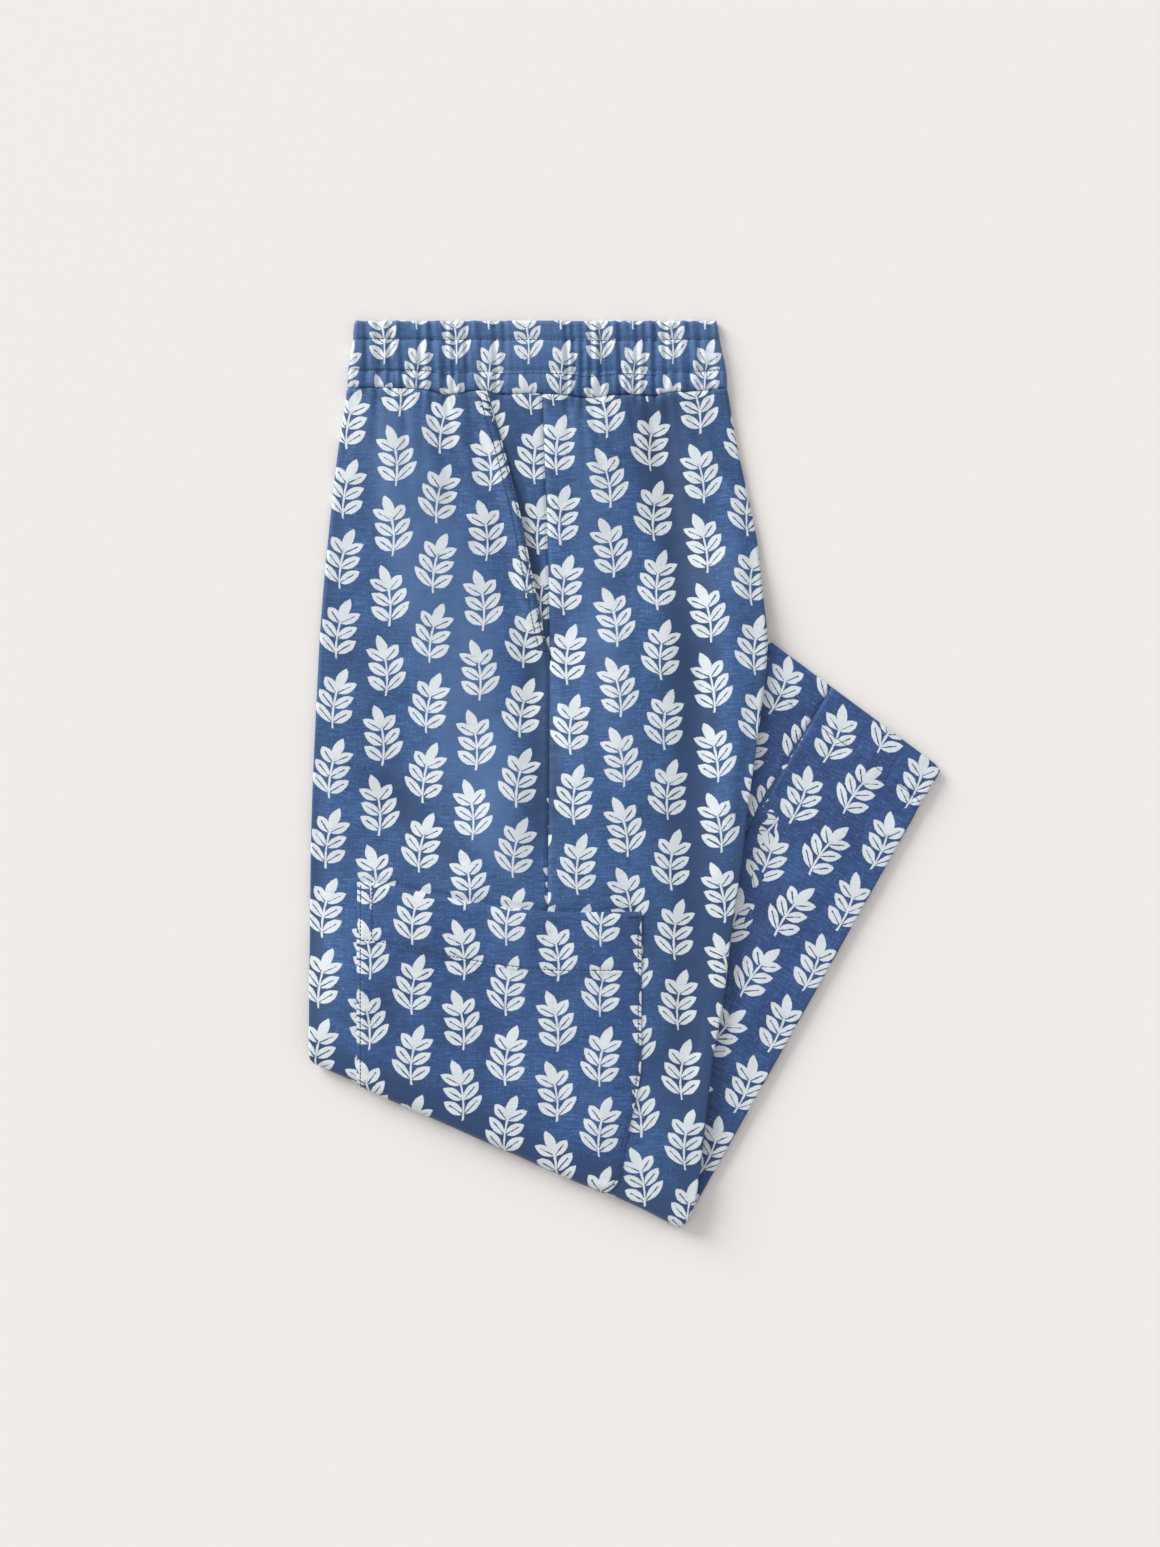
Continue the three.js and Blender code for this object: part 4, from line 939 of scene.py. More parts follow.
front_columns = panel_columns("left", front_border, 170.0)
back_columns = panel_columns("right", back_border, 150.0)
left_front = make_leg_panel("left_front_cloth", front_face, front_columns, FRONT_GRAIN, (9.0, 4.0))
left_back = make_leg_panel("left_back_cloth", back_face, back_columns, BACK_GRAIN, (2.0, 11.0), True)
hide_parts("left_front")
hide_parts("left_back")

# %% [markdown]
# The facing is the cloth that shows in the pocket's mouth. It starts under the front panel's edge
# and is sewn into the side seam. It sinks a little beside the edge, where the hand goes in, so the
# raised edge casts a shadow on it, and a painted shadow darkens it further next to the edge.

# %% Pocket facing
FACING_END = 0.345
FACING_WIDE = 30.0
FACING_DIP = {"down": 168.0, "reach": 58.0, "beside": 3.5, "wide": 7.5, "depth": 2.5}
# A painted shadow on the facing: its strength, and the distances past the slanted edge, in mm, over which
# it fades out.
PAINTED_SHADOW = {"amount": 2.0, "past_edge": (3.0, 11.0)}


def facing_lift(x, down):
    to_slant = x - slant_at(down)
    dip = FACING_DIP["depth"] * bell((to_slant - FACING_DIP["beside"]) / FACING_DIP["wide"])
    dip = dip * bell((down - FACING_DIP["down"]) / FACING_DIP["reach"])
    to_seam = front_seam(down) - x
    return puckers(down, to_seam, 6.0, 26, 0.2) - dip + rolled_in(to_seam, down - seam_down_at(x))


def make_pocket_facing():
    across = closing_shares(26, FACING_WIDE, [2.0, 1.2, 0.5])

    def column_at(down):
        return lerp(slant_at(down) - MOUTH_UNDER, front_seam(down), across)

    x, down = meet(*leg_rows(last=FACING_END, wrap_end=None), column_at)
    flat = flat_places(x, down, BACK_GRAIN, (19.0, 17.0))
    points, faces, places = sheet_parts(on_leg(x, down, facing_lift(x, down)), flat)
    # Painted shadow next to the slanted edge, in the mouth of the pocket.
    past_edge = points[:, 0] - slant_at(WAIST_Y - points[:, 1])
    painted_shadow = PAINTED_SHADOW["amount"] * (1 - smoothstep(past_edge, *PAINTED_SHADOW["past_edge"]))
    return add_mesh("pocket_facing_cloth", points, faces, places, linen, painted_shadow=painted_shadow)


pocket_facing = make_pocket_facing()
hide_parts("pocket_facing")

# %% [markdown]
# The cargo pocket is a flat patch across the side seam. Its top has a wide hem of doubled cloth, so
# it stands higher, and its sides are folded under and edge-stitched. It was sewn on before the leg
# was folded, so it goes round the knee fold with the leg, and its lower right corner is rounded.

# %% Cargo pocket
POCKET = {"left": -200.4, "right": 12.0, "hem": 45.0, "bottom": 656.0, "corner": 22.0}
POCKET_HEM_END = (POCKET["hem"] - 0.6, POCKET["hem"] + 1.4)
POCKET_HEM_STITCH = POCKET["hem"] - 2
POCKET_LEAN = {"from": 552.0, "to": 640.0, "by": -14.0}
POCKET_WRAP_END = math.radians(138.0)
POCKET_RISE = 1.75
POCKET_HEM_RAISE = 0.7
POCKET_EDGE_SINK = 0.7
EDGE_STITCH = 2.3
POCKET_GRAIN = 0.5


def pocket_lean(down):
    return POCKET_LEAN["by"] * smoothstep(down, POCKET_LEAN["from"], POCKET_LEAN["to"])


def pocket_foot_at(x):
    wrap = KNEE["radius"] * POCKET_WRAP_END / math.cos(KNEE["slope"])
    into = np.maximum(0, x - (POCKET["right"] + POCKET_LEAN["by"] - POCKET["corner"])) / POCKET["corner"]
    cut = POCKET["bottom"] - POCKET["corner"] * (1 - np.sqrt(np.maximum(0, 1 - into**2)))
    return np.minimum(cut, knee_tangent_down(x) + wrap)


def to_pocket_side(x, down):
    """Distance in from the pocket's right side and from its rounded lower corner."""
    aside = (x - (POCKET["right"] + pocket_lean(down))) / POCKET["corner"] + 1
    below = (down - POCKET["bottom"]) / POCKET["corner"] + 1
    return POCKET["corner"] * (1 - np.hypot(np.maximum(aside, 0), np.maximum(below, 0)))


def pocket_lift(x, down):
    depth = down - pocket_top_at(x)
    to_left = x - POCKET["left"]
    to_right = to_pocket_side(x, down)
    side = np.minimum(to_left, to_right)
    lift = POCKET_RISE + POCKET_HEM_RAISE * (1 - smoothstep(depth, *POCKET_HEM_END))
    lift = lift - POCKET_EDGE_SINK * bell(np.minimum(side, depth) / ROLL_HALF)
    lift = lift + groove(side - EDGE_STITCH, 0.4) + groove(depth - POCKET_HEM_STITCH, 0.5)
    lift = lift + puckers(down, to_left - 3, 6.0, 31, 0.22) + puckers(down, to_right - 3, 6.0, 32, 0.22)
    return lift + puckers(x, depth - POCKET["hem"], 7.0, 33, 0.2) + 0.16 * crumple(x, down, 34.0, 34)


def pocket_face(x, down):
    return on_leg(x, down, pocket_lift(x, down))


def pocket_places(depth, share):
    """Places of the pocket's grid: rows by distance under its top edge, then by share to its foot."""
    near = NEAR_EDGE / (POCKET["right"] - POCKET["left"])
    across = np.unique(np.concatenate([np.linspace(0, 1, 118), near, 1 - near]))
    depths = np.append(depth, 0 * share)[:, None]
    shares = np.append(0 * depth, share)[:, None]
    in_hem = np.arange(len(depths))[:, None] < len(depth)
    down = np.full((len(depths), len(across)), POCKET_LEAN["from"])
    for _ in range(10):
        x = lerp(POCKET["left"], POCKET["right"] + pocket_lean(down), across)
        top = pocket_top_at(x)
        down = np.where(in_hem, top + depths, lerp(top + depth[-1], pocket_foot_at(x), shares))
    return x, down


def make_cargo_pocket():
    hem = POCKET["hem"]
    near_hem = hem + np.array([-4.0, -3.0, -2.0, -1.0, -0.3, 0.5, 1.5])
    depths = np.concatenate([[0], NEAR_EDGE, np.arange(4.0, hem - 5, 1.8), near_hem])
    x, down = pocket_places(depths, np.linspace(0, 1, 106)[1:])
    flat = flat_places(x, down, POCKET_GRAIN, (30.0, -0.6))
    return add_mesh("cargo_pocket_cloth", *sheet_parts(pocket_face(x, down), flat), linen_pocket)


cargo_pocket = make_cargo_pocket()
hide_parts("cargo_pocket")

# %% [markdown]
# The waistband is one strip folded over and stitched along two lines, which leave a frill at the
# top, a casing for the elastic and a plain strip above the waist seam. Each of the three swells
# between its stitches, and the elastic crimps them all. The half that shows lies on the other half,
# and both end in the rounded folds at the sides.

# %% Waistband
HEADER_DEPTH = 13.5
CHANNEL_END = 37.5
BAND_DEPTH = 52.0
BAND_THICK = 2.0
HEADER_CLOSED = 4.0
EDGE_WAVE = 0.35
BAND_TURN = math.radians(85.0)
BAND_GATHER = 0.65
BAND_STRETCH = 1.3
UNDER_BAND_END = 49.8
BAND_PUFF = {"header": 0.7, "channel": 1.1, "strip": 0.6, "sunk": 0.2}
BAND_EDGE = 0.9
BAND_CRIMPS = {"height": 0.62, "size": 6.2, "fine_height": 0.15, "fine_size": 3.1}
CRIMP = {
    "x": [-212, -190, -170, -120, -96, -88, -50, -44, -20, -8, 6, 28, 50, 80],
    "height": [0.25, 0.5, 0.75, 0.7, 0.6, 0.3, 0.25, 0.8, 0.85, 0.5, 0.7, 0.6, 0.6, 0.4],
}


def arch(at, start, end):
    return np.sin(math.pi * (at - start) / (end - start))


def band_puff(down, bottom):
    header = BAND_PUFF["header"] * arch(down, -HEADER_CLOSED, HEADER_DEPTH)
    channel = BAND_PUFF["channel"] * arch(down, HEADER_DEPTH, CHANNEL_END)
    strip = BAND_PUFF["strip"] * arch(down, CHANNEL_END, bottom)
    puff = np.where(down < HEADER_DEPTH, header, np.where(down < CHANNEL_END, channel, strip))
    return puff - BAND_PUFF["sunk"]


def band_lift(x, down):
    bottom = seam_down_at(x)
    amount = read(CRIMP, "x", "height", x)
    crimp = BAND_CRIMPS["height"] * amount * crumple(x, down * 0.14, BAND_CRIMPS["size"], 41)
    crimp = crimp + BAND_GATHER * gathers_at(x + 0.5 * np.sin(down / 7), 0.0)
    fine = BAND_CRIMPS["fine_height"] * crumple(x, down * 0.3, BAND_CRIMPS["fine_size"], 42) * amount
    stitched = groove(down - HEADER_DEPTH, 0.7, 1.3) + groove(down - CHANNEL_END, 0.6, 1.3)
    sunk = SEAM_ROLL * (bell(down / BAND_EDGE) + bell((bottom - down) / BAND_EDGE))
    return band_puff(down, bottom) + (crimp + fine) + stitched - sunk


def band_face(x, down):
    return on_leg(x, down, 0.0, band_lift(x, down))


def band_columns(count):
    share = np.linspace(0, 1, count)
    rolled = np.linspace(0, 1, 9)[:-1]

    def column_at(down):
        radius = edge_radius(down)
        left, right = edge_at("left", down) + radius, edge_at("right", down) - radius
        rolled_left = left - radius * BAND_TURN * (1 - rolled)
        rolled_right = right + radius * BAND_TURN * (1 - rolled[::-1])
        return np.concatenate([rolled_left, lerp(left, right, share), rolled_right], axis=-1)

    return column_at


def band_places(count, first_row, row_step, bottom_at):
    """Rows are distances below the top edge of a band of even depth, stretched to the wavy seam."""
    middle_rows = np.arange(first_row, BAND_DEPTH - 2, row_step)
    rows = np.concatenate([[0, 0.5, 1.2], middle_rows, BAND_DEPTH - np.array([1.2, 0.5, 0])])
    column_at = band_columns(count)
    down = np.full((len(rows), 1), 50.0)
    for _ in range(10):
        x = column_at(down[:, :1])
        down = rows[:, None] * bottom_at(x) / BAND_DEPTH
    wave = EDGE_WAVE * -gathers_at(x, 0.0) * (1 - smoothstep(down, 0, 9))
    return x, down + wave


def make_waistband_left():
    x, down = band_places(280, 2.2, 1.05, lambda x: seam_down_at(x) - WAIST_SEAM_GAP / 2)
    flat = np.stack([x * BAND_STRETCH + 8.0, -down + 9.0], axis=-1)
    return add_mesh("waistband_left_cloth", *sheet_parts(band_face(x, down), flat, BAND_THICK, 3), linen)


def make_waistband_right():
    x, down = band_places(130, 2.4, 2.0, lambda x: UNDER_BAND_END + 0 * x)
    inside = np.clip(x, edge_at("left", down), edge_at("right", down))
    top = on_leg(x, down)
    plain = stack_height(down) - top[..., 2] + relief(inside, down)
    grid = np.concatenate([top[..., :2], np.maximum(plain, ABOVE_FLOOR)[..., None]], axis=-1)
    flat = np.stack([x * BAND_STRETCH + 30.0, -down + 30.0], axis=-1)
    parts = sheet_parts(grid, flat, BAND_THICK, 3, looks_down=True)
    return add_mesh("waistband_right_cloth", *parts, linen)


waistband_left = make_waistband_left()
waistband_right = make_waistband_right()
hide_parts("waistband_left")
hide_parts("waistband_right")

# %% [markdown]
# The lower legs lie under the upper ones, turned back at the knee. Their cloth is laid by distance
# along the shin and inward from the edge that shows. The right leg's back panel rolls round that
# edge, and a sliver of its front panel shows past the side seam. Both end in a doubled hem,
# stitched 29 mm from the edge.

# %% Lay flat cloth on the lower leg
SHIN_RADIUS = LOWER_STACK / 4
SHIN_SEAM = {"inset": 105.1, "taper": -0.0236, "from": 275.6}
HEM_DEPTH = 31.0
HEM_RAISE = 0.5
HEM_STITCH = HEM_DEPTH - 2.2
BORDER_TUCK = 6.0
SHIN_FROM = {"back": 20.0, "front": 284.0}
HEADING = np.array(SHIN["heading"])
INWARD = np.array([-HEADING[1], HEADING[0]])


def shin_plan(along, inset):
    return (
        SHIN["x"] + HEADING[0] * along + INWARD[0] * inset,
        SHIN["y"] + HEADING[1] * along + INWARD[1] * inset,
    )


def hem_along(inset):
    return SHIN["length"] + SHIN["hem_slant"] * inset - 1.5 * bell(inset / 4)


def shin_seam_inset(along):
    return SHIN_SEAM["inset"] + SHIN_SEAM["taper"] * (along - SHIN_SEAM["from"])


def border_inset(along, tuck=BORDER_TUCK):
    """How far in from the shin's edge the upper leg's side edge crosses it."""
    near, far = 0 * along, 0 * along + 260.0
    for _ in range(30):
        middle = (near + far) / 2
        x, y = shin_plan(along, middle)
        shows = x > edge_at("right", WAIST_Y - y) - tuck
        near, far = np.where(shows, middle, near), np.where(shows, far, middle)
    return near


def on_shin(along, inset, lift):
    turn = np.maximum(SHIN_RADIUS - inset, 0) / SHIN_RADIUS
    reach = SHIN_RADIUS + lift
    plan_inset = np.where(turn > 0, SHIN_RADIUS - reach * np.sin(turn), inset)
    over = np.where(turn > 0, reach * np.cos(turn) - SHIN_RADIUS, lift)
    x, y = shin_plan(along, plan_inset)
    folds = 0.0
    for fold in SHIN_FOLDS:
        folds = folds + fold_at(fold, along, inset)
    folds = folds + 0.2 * crumple(along, inset, 42.0, 51)
    folds = folds + 0.06 * crumple(along, inset * 1.3, 12.0, 52)
    to_edge = np.minimum(inset, border_inset(along, 1.8) - inset)
    return np.stack([x, y, LOWER_STACK + folds * smoothstep(to_edge, 3, 14) + over], axis=-1)


def shin_lift(along, inset, seam_side):
    short = hem_along(np.maximum(inset, 0)) - along
    in_hem = 1 - smoothstep(short, HEM_DEPTH - 0.4, HEM_DEPTH + 1.2)
    lift = HEM_RAISE * in_hem + groove(short - HEM_STITCH, 0.5) - 0.5 * bell(short / ROLL_HALF)
    lift = lift + puckers(inset, short - HEM_DEPTH + 2, 8.0, 53, 0.3, 8.0)
    lift = lift + puckers(inset, short, 5.0, 54, 0.15)
    to_seam = seam_side * (shin_seam_inset(along) - inset) - SEAM_GAP / 2
    return lift + puckers(along, to_seam, 7.0, 55, 0.18) + rolled_in(to_seam)


def shin_places(inset_at, start, count):
    """Rows run from the knee to the hem."""
    near_hem = [0.5, 1.2, *(HEM_DEPTH + np.array([-4.2, -3.2, -2.2, -1.2, -0.4, 0.6]))]
    rows = np.concatenate([np.linspace(0, 1, count), 1 - np.array(near_hem) / (SHIN["length"] - start)])
    share = np.unique(rows)[:, None]
    along = start + 0 * share
    for _ in range(12):
        inset = inset_at(along)
        along = lerp(start, hem_along(np.maximum(inset, 0)), share)
    return along, inset


def shin_back_face(along, inset):
    return on_shin(along, inset, shin_lift(along, inset, 1))


def shin_front_face(along, inset):
    return on_shin(along, inset, shin_lift(along, inset, -1))


def make_shin_panel(name, face, inset_at, start, count, shift):
    along, inset = shin_places(inset_at, start, count)
    grid = face(along, inset)[:, ::-1]
    flat = np.stack([inset + shift[0], along + shift[1]], axis=-1)[:, ::-1]
    return add_mesh(name, *sheet_parts(grid[::-1], flat[::-1]), linen_across)


def make_right_back_lower():
    share = np.append(np.linspace(-1, 0, 12)[:-1], closing_shares(54, 90.0, NEAR_EDGE))

    def inset_at(along):
        far = np.minimum(border_inset(along), shin_seam_inset(along) - SEAM_GAP / 2)
        rolled = SHIN_RADIUS + SHIN_RADIUS * math.pi * share
        return np.where(share < 0, rolled, lerp(SHIN_RADIUS, far, share))

    name = "right_back_lower_cloth"
    return make_shin_panel(name, shin_back_face, inset_at, SHIN_FROM["back"], 215, (7.0, 15.0))


def make_right_front_lower():
    share = 1 - closing_shares(34, 52.0, NEAR_EDGE)[::-1]

    def inset_at(along):
        return lerp(shin_seam_inset(along) + SEAM_GAP / 2, border_inset(along), share)

    name = "right_front_lower_cloth"
    return make_shin_panel(name, shin_front_face, inset_at, SHIN_FROM["front"], 70, (24.0, 3.0))


right_back_lower = make_right_back_lower()
right_front_lower = make_right_front_lower()
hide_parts("right_back_lower")
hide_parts("right_front_lower")

# %% [markdown]
# Under these lie the layers that show only at the edges: the right leg, which lies inside the left
# one and goes round the knee in a tighter fold, and both lower legs. Each is a flattened tube with
# round folds at its sides. At the hem the layers of each tube come out as separate edges.

# %% Hidden layers: tubes and hem edges
RIGHT_LEG = {"top": 3.75, "rise_top": 3.6, "inset": [3.2, 0.7]}
KNEE_INNER = {"top": 3.7, "bottom": 6.5}
TUBE_GAP = 0.15
TUBE_RELIEF = 0.6
TUBE_ROWS = {"first": 0.012, "wrap_end": 178.0, "step": 4.0}
SHIN_TUBES = [
    # lowest, highest, inset of its near side, how far it ends short of the hem
    (0.0, 2.9, 0.5, 6.0), (3.05, LOWER_STACK - CLOTH_THICK - TUBE_GAP, 1.7, 6.0),
]
SHIN_TUBE_START = {"at": 9.0, "slant": -0.0985}
HEM_EDGES = [
    # lowest, thickness, how far it ends short of the hem
    (0.0, 1.1, 1.6), (1.5, 1.1, 3.2), (3.1, 1.0, 2.2),
]


def shin_far_inset(along):
    """Distance from the shin's visible edge to its hidden one, from the knee to the hidden hem corner."""
    places = []
    for x, y in (KNEE_CORNER, HIDDEN_HEM_CORNER):
        away = np.array([x - SHIN["x"], y - SHIN["y"]])
        places.append((away @ HEADING, away @ INWARD))
    (near_along, near_inset), (far_along, far_inset) = places
    return near_inset + (far_inset - near_inset) * (along - near_along) / (far_along - near_along)


def tube_parts(loops, along_row):
    """A closed tube from rows of loop points. Its cut width is measured round the loop."""
    rows, count = loops.shape[:2]
    number = np.arange(rows * count).reshape(rows, count)
    beside = np.roll(number, -1, axis=1)
    faces = [np.stack([number[:-1], beside[:-1], beside[1:], number[1:]], axis=-1).reshape(-1, 4)]
    half = count // 2
    for row, order in ((0, -1), (rows - 1, 1)):
        ring = number[row]
        low, high = np.arange(0, half - 1), count - 1 - np.arange(0, half - 1)
        faces.append(np.stack([ring[low], ring[low + 1], ring[high - 1], ring[high]], axis=-1)[:, ::order])
    steps = np.linalg.norm(np.diff(loops, axis=1), axis=-1)
    around = np.concatenate([np.zeros((rows, 1)), np.cumsum(steps, axis=1)], axis=1)
    flat = np.stack([around, -np.broadcast_to(along_row, around.shape)], axis=-1)
    return loops.reshape(-1, 3), np.concatenate(faces), flat.reshape(-1, 2)


def flattened(left, right, low, high, place):
    """Loops between two edges and two heights. place turns across and height into garment points."""
    across = np.linspace(0, 1, 56)
    bend = np.linspace(0, math.pi, 9)[1:-1]
    radius = (high - low) / 2
    middle = (high + low) / 2
    over = lerp(left + radius, right - radius, across)
    side = 0 * over[:, :1]
    right_x = right - radius + radius * np.sin(bend) + side
    right_z = middle + radius * np.cos(bend) + side
    left_x = left + radius - radius * np.sin(bend) + side
    left_z = middle - radius * np.cos(bend) + side
    x = np.concatenate([over, right_x, over[:, ::-1], left_x], axis=1)
    z = np.concatenate([high + 0 * over, right_z, low + 0 * over, left_z], axis=1)
    return place(x, z)


def right_leg_tube():
    """The right leg above the knee and round the fold. Heights are measured down from the outer face."""
    share, turn = leg_rows(**TUBE_ROWS)
    side_down = meet(share, turn, lambda down: edge_at("left", down))[1]
    other_down = meet(share, turn, lambda down: edge_at("right", down))[1]
    inset = lerp(*RIGHT_LEG["inset"], in_legs(side_down))
    left = edge_at("left", side_down) + inset
    right = edge_at("right", other_down) - inset
    bent = (np.asarray(turn) > 0)[:, None]
    in_leg = in_legs(side_down)
    over = lerp(np.where(bent, KNEE_INNER["top"], RIGHT_LEG["top"]), RIGHT_LEG["rise_top"], 1 - in_leg)
    depth = np.where(bent, KNEE_INNER["bottom"], stack_height(side_down) - 0.1)

    def place(x, z):
        slant = (x - left) / (right - left)
        down = lerp(side_down, other_down, slant)
        base = lift_below(x, down) + stack_height(down)
        from_top = (depth - z) / (depth - over)
        inside = np.clip(x, left, right)
        places = round_the_knee(x, down, base + TUBE_RELIEF * relief(inside, down) * from_top, -z)
        places[..., 2] = np.maximum(places[..., 2], ABOVE_FLOOR)
        return places

    loops = flattened(left, right, over, depth, place)
    return tube_parts(loops[:, ::-1], side_down)


def shin_tube(low, high, inset_near, short):
    share = np.linspace(0, 1, 90)[:, None]
    middle_far = shin_far_inset(lerp(0.0, SHIN["length"], share))
    near, far = inset_near + 0 * share, middle_far - 1.5

    def place(inset, z):
        start = SHIN_TUBE_START["at"] + SHIN_TUBE_START["slant"] * inset
        along = lerp(start, hem_along(np.maximum(inset, 0)) - short, share)
        x, y = shin_plan(along, inset)
        return np.stack([x, y, z], axis=-1)

    loops = flattened(near, far, low + 0 * share, high + 0 * share, place)
    return tube_parts(loops, share * SHIN["length"])


def hem_edge(low, thick, short):
    """One layer of cloth at the hem, as deep as the hem, which ends a little short of the top one."""
    far = border_inset(np.array([[SHIN["length"] + 10.0]]), 12.0)[0, 0]
    inset = np.linspace(1.0, far, 60)[None, :]
    back = np.concatenate([np.linspace(HEM_DEPTH, 1.5, 14), [0.7, 0.0]])[:, None]
    along = hem_along(inset) - short - back
    x, y = shin_plan(along, inset + 0 * along)
    wave = 0.12 * crumple(inset, 0 * inset, 24.0, int(60 + low * 10))
    grid = np.stack([x, y, thick + np.maximum(low + wave, ABOVE_FLOOR) + 0 * along], axis=-1)
    flat = np.stack([inset + 0 * along, along], axis=-1)
    return sheet_parts(grid[::-1, ::-1], flat[::-1, ::-1], thick)


def joined(parts):
    points, faces, flats, start = [], [], [], 0
    for some_points, some_faces, some_flat in parts:
        points.append(some_points)
        faces.append(some_faces + start)
        flats.append(some_flat)
        start += len(some_points)
    return np.concatenate(points), np.concatenate(faces), np.concatenate(flats)


def make_hidden_layers():
    parts = [right_leg_tube()]
    parts += [shin_tube(*tube) for tube in SHIN_TUBES]
    parts += [hem_edge(*edge) for edge in HEM_EDGES]
    return add_mesh("hidden_layers_cloth", *joined(parts), linen_across)


hidden_layers = make_hidden_layers()
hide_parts("hidden_layers")

# %% [markdown]
# The seams are sewn with navy thread. Each stitch is a short thread that comes up, lies on the
# cloth and goes down again, drawn along a line on the piece's own face so that it follows every
# gather. A bar tack is the same stitch, packed close, to and fro across the line, where a pocket's
# corner takes the strain.

# %% Stitches
STITCH = {"long": 2.5, "pitch": 3.0, "thick": 0.38, "bite": 0.32}
TACK_PITCH = 0.55
RING_SIDES = 5
THREAD_RINGS = [
    # share of the stitch, share of its thickness, height in bites
    (0.0, 0.5, -1.0), (0.14, 1.0, 0.25), (0.5, 1.0, 0.55), (0.86, 1.0, 0.25), (1.0, 0.5, -1.0),
]
MOUTH_TACKS = [
    # down at which the edge is read, distance in from it, length, its own down, drop, width
    (66.0, 6.5, 6.0, 66.0, 1.2, 1.6), (246.0, 8.5, 7.5, 246.5, 1.0, 1.8),
]
INNER_STITCH = -189.7
HEM_STITCH_RUNS = {"back": (1.5, 104.0, 300), "front": (106.5, 154.0, 160)}


def face_frame(face, a, b):
    """Points on a face and its normals, from small steps along both of its directions."""
    step = 0.3
    here = face(a, b)
    side_a = face(a + step, b) - face(a - step, b)
    side_b = face(a, b + step) - face(a, b - step)
    normal = np.cross(side_b, side_a)
    return here, normal / np.maximum(np.linalg.norm(normal, axis=-1, keepdims=True), 1e-9)


def thread_parts(starts, ends, normals):
    """One small thread for each pair of points, bent down into the cloth at both ends."""
    along = ends - starts
    way = along / np.linalg.norm(along, axis=-1, keepdims=True)
    up = normals - way * np.sum(normals * way, axis=-1, keepdims=True)
    up /= np.linalg.norm(up, axis=-1, keepdims=True)
    side = np.cross(way, up)
    rings = []
    for share, size, rise in THREAD_RINGS:
        middle = starts + along * share + up * (rise * STITCH["bite"])
        for n in range(RING_SIDES):
            turn = math.tau * n / RING_SIDES
            radius = STITCH["thick"] * size
            rings.append(middle + side * (radius * math.cos(turn)) + up * (radius * math.sin(turn)))
    points = np.stack(rings, axis=1)
    faces = []
    for ring in range(len(THREAD_RINGS) - 1):
        for n in range(RING_SIDES):
            a, b = ring * RING_SIDES + n, ring * RING_SIDES + (n + 1) % RING_SIDES
            faces.append([a, a + RING_SIDES, b + RING_SIDES, b])
    count = points.shape[1]
    every = np.arange(len(points))[:, None, None] * count + np.array(faces)[None]
    flat = np.zeros((len(points) * count, 2))
    return points.reshape(-1, 3), every.reshape(-1, 4), flat


def distances_along(points):
    return np.append(0, np.cumsum(np.linalg.norm(np.diff(points, axis=0), axis=-1)))


def read_line(where, run, values):
    """Points or normals of a line, read at some distances along it."""
    return np.stack([np.interp(where, run, values[:, k]) for k in range(3)], axis=-1)


def stitched_line(face, a, b):
    """Stitches along a line of flat places on a face."""
    here, normals = face_frame(face, a, b)
    run = distances_along(here)
    begin = np.arange(0.4, run[-1] - STITCH["long"], STITCH["pitch"])
    up = read_line(begin + STITCH["long"] / 2, run, normals)
    return thread_parts(read_line(begin, run, here), read_line(begin + STITCH["long"], run, here), up)


def bar_tack(face, a, b, wide):
    """A short dense bar along a line, with its threads lying across the line."""
    here, normals = face_frame(face, a, b)
    run = distances_along(here)
    where = np.arange(0, run[-1], TACK_PITCH)
    middle = read_line(where, run, here)
    up = read_line(where, run, normals)
    way = (here[-1] - here[0]) / np.linalg.norm(here[-1] - here[0])
    across = np.cross(up, way) * wide / 2
    return thread_parts(middle - across, middle + across, up)


def sew(name, parts):
    return add_mesh(name, *joined(parts), navy_thread, "thread")


def band_stitches():
    x = np.linspace(-203.5, 72.0, 700)
    lines = []
    for depth in (HEADER_DEPTH, CHANNEL_END):
        down = depth * seam_down_at(x) / BAND_DEPTH
        lines.append(stitched_line(band_face, x, down))
    return sew("waistband_stitches", lines)


def mouth_stitches():
    down = np.linspace(56.5, MOUTH_END - 3, 400)
    parts = [stitched_line(front_face, slant_at(down) - place, down) for place in MOUTH_STITCH]
    across = np.linspace(0, 1, 20)
    for edge_down, inside, length, at, drop, wide in MOUTH_TACKS:
        x = slant_at(edge_down) - inside + length * across
        parts.append(bar_tack(front_face, x, at + drop * across, wide))
    return sew("pocket_mouth_stitches", parts)


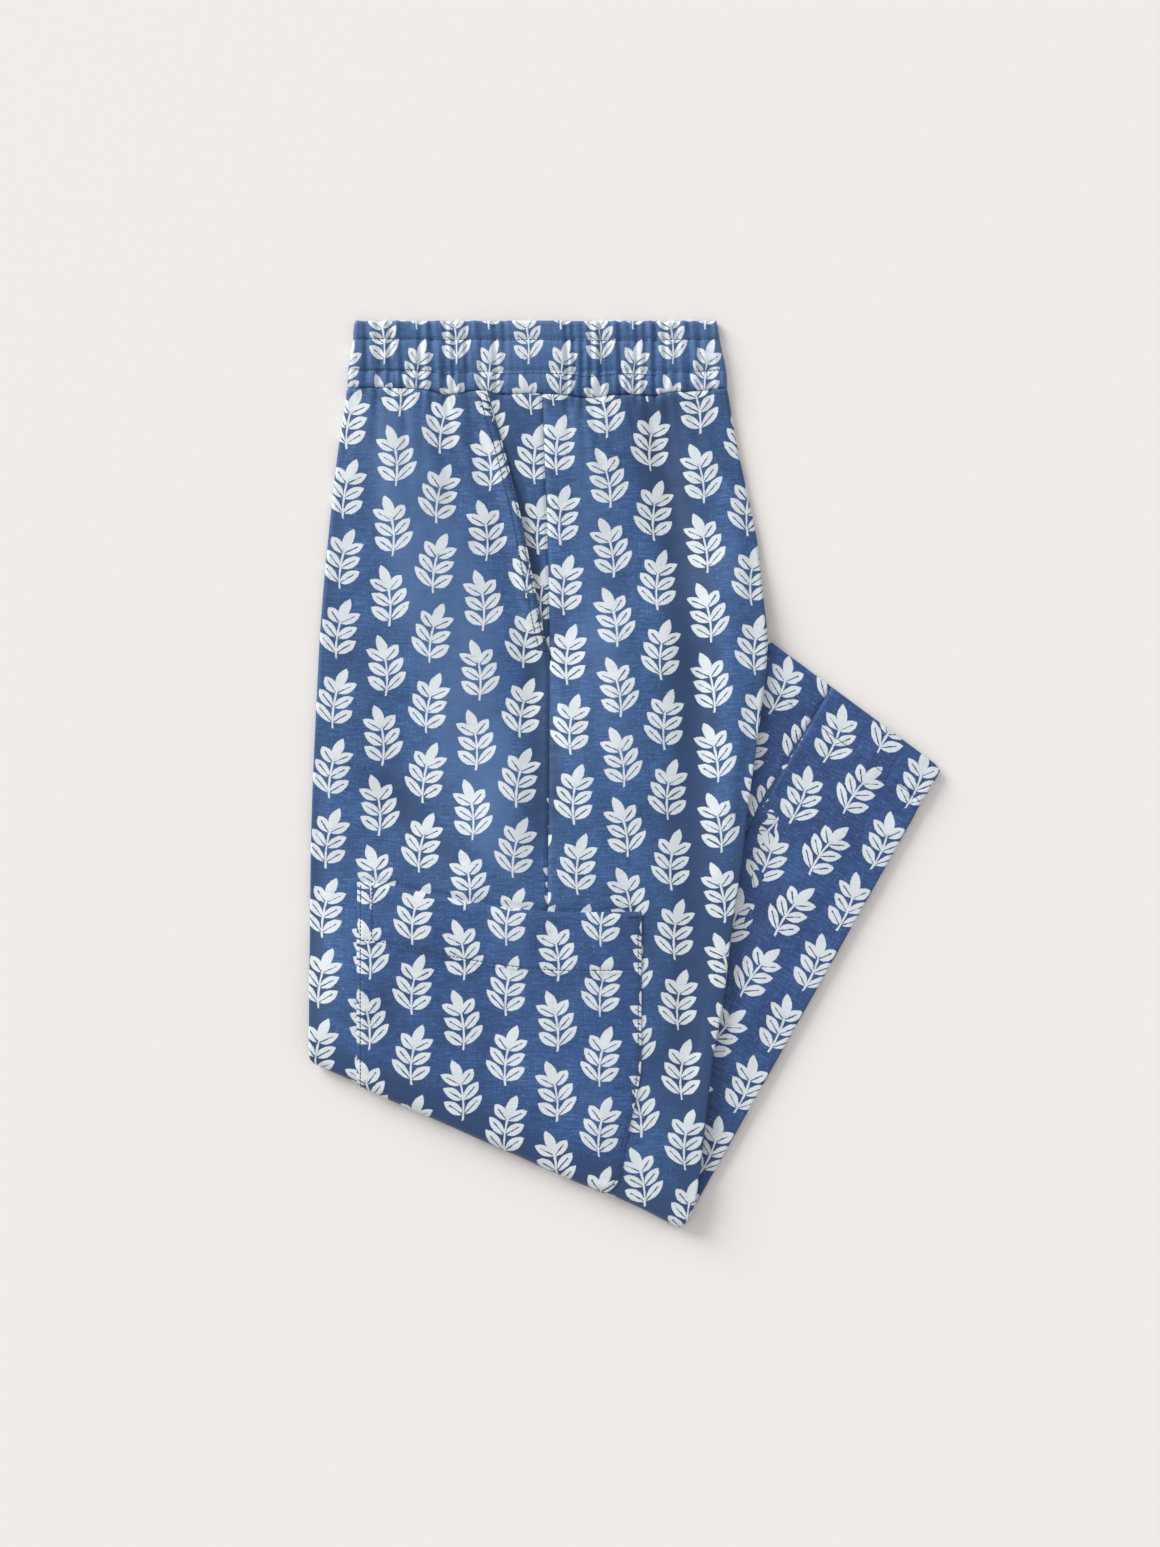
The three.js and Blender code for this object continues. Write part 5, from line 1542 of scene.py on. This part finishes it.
def pocket_stitches():
    left = POCKET["left"] + EDGE_STITCH
    left_down = np.linspace(pocket_top_at(left) + 1.5, pocket_foot_at(left) - 4, 400)
    side_down = np.linspace(pocket_top_at(POCKET["right"]) + 1.5, POCKET["bottom"] - POCKET["corner"], 400)
    round_corner = np.radians(np.linspace(2, 75, 60))
    bend = POCKET["corner"] - EDGE_STITCH
    inside = bend * np.cos(round_corner) - POCKET["corner"] + POCKET_LEAN["by"]
    right_down = np.append(side_down, side_down[-1] + bend * np.sin(round_corner))
    right = POCKET["right"] + np.append(pocket_lean(side_down) - EDGE_STITCH, inside)
    x = np.linspace(POCKET["left"] + 3, POCKET["right"] - 3, 500)
    inner_top = pocket_top_at(INNER_STITCH)
    inner_down = np.linspace(inner_top + 1.5, inner_top + POCKET["hem"] - 3, 80)
    corner = np.linspace(POCKET["right"] - 9.0, POCKET["right"] - 2.0, 20)
    return sew("cargo_pocket_stitches", [
        stitched_line(pocket_face, left + 0 * left_down, left_down),
        stitched_line(pocket_face, right, right_down),
        stitched_line(pocket_face, x, pocket_top_at(x) + POCKET_HEM_STITCH),
        stitched_line(pocket_face, INNER_STITCH + 0 * inner_down, inner_down),
        bar_tack(pocket_face, corner, pocket_top_at(corner) + 3.2, 1.8),
    ])


def hem_stitches():
    lines = []
    for face, side in ((shin_back_face, "back"), (shin_front_face, "front")):
        inset = np.linspace(*HEM_STITCH_RUNS[side])
        along = hem_along(inset) - HEM_STITCH
        keep = (inset < border_inset(along)) & (np.abs(inset - shin_seam_inset(along)) > 0.8)
        lines.append(stitched_line(face, along[keep], inset[keep]))
    return sew("hem_stitches", lines)


band_threads = band_stitches()
mouth_threads = mouth_stitches()
pocket_threads = pocket_stitches()
hem_threads = hem_stitches()

# %% [markdown]
# Each piece is a sheet of cloth, so the table lists the size that it was cut to, how it is held,
# what it lies on and which stitches it carries, and the area shown is printed against the cut. The
# area of what is built is measured on the mesh: half of a closed sheet's surface. The waistband was
# cut longer than it lies, because elastic gathers it.

# %% Cut sizes
def cut_area(piece):
    """Area of what shows of a closed sheet: half of its surface, in square metres."""
    return sum(face.area for face in piece.data.polygons) / 2


CUT_SIZES = [
    # piece, width and length of its cut in metres, how it is held, what it lies on, pieces on it
    (left_front, (0.200, 0.545), "folded", ["hidden_layers_cloth"], [mouth_threads]),
    (left_back, (0.180, 0.625), "folded", ["hidden_layers_cloth"], []),
    (pocket_facing, (0.040, 0.190), "folded", ["hidden_layers_cloth"], []),
    (cargo_pocket, (0.214, 0.240), "folded", ["left_front_cloth", "left_back_cloth"], [pocket_threads]),
    (waistband_left, (0.330, 0.062), "gathered", ["waistband_right_cloth"], [band_threads]),
    (waistband_right, (0.330, 0.062), "gathered", ["floor"], []),
    (right_back_lower, (0.112, 0.400), "folded", ["hidden_layers_cloth"], [hem_threads]),
    (right_front_lower, (0.056, 0.128), "folded", ["hidden_layers_cloth"], []),
    (hidden_layers, (0.640, 0.900), "folded", ["floor"], []),
]
for piece, cut, held, lies_on, threads in CUT_SIZES:
    area = min(cut_area(piece), 0.999 * cut[0] * cut[1])
    share = area / (cut[0] * cut[1])
    print(piece.name, "cut", cut, "area shown", round(area, 4), "share", round(share, 2))
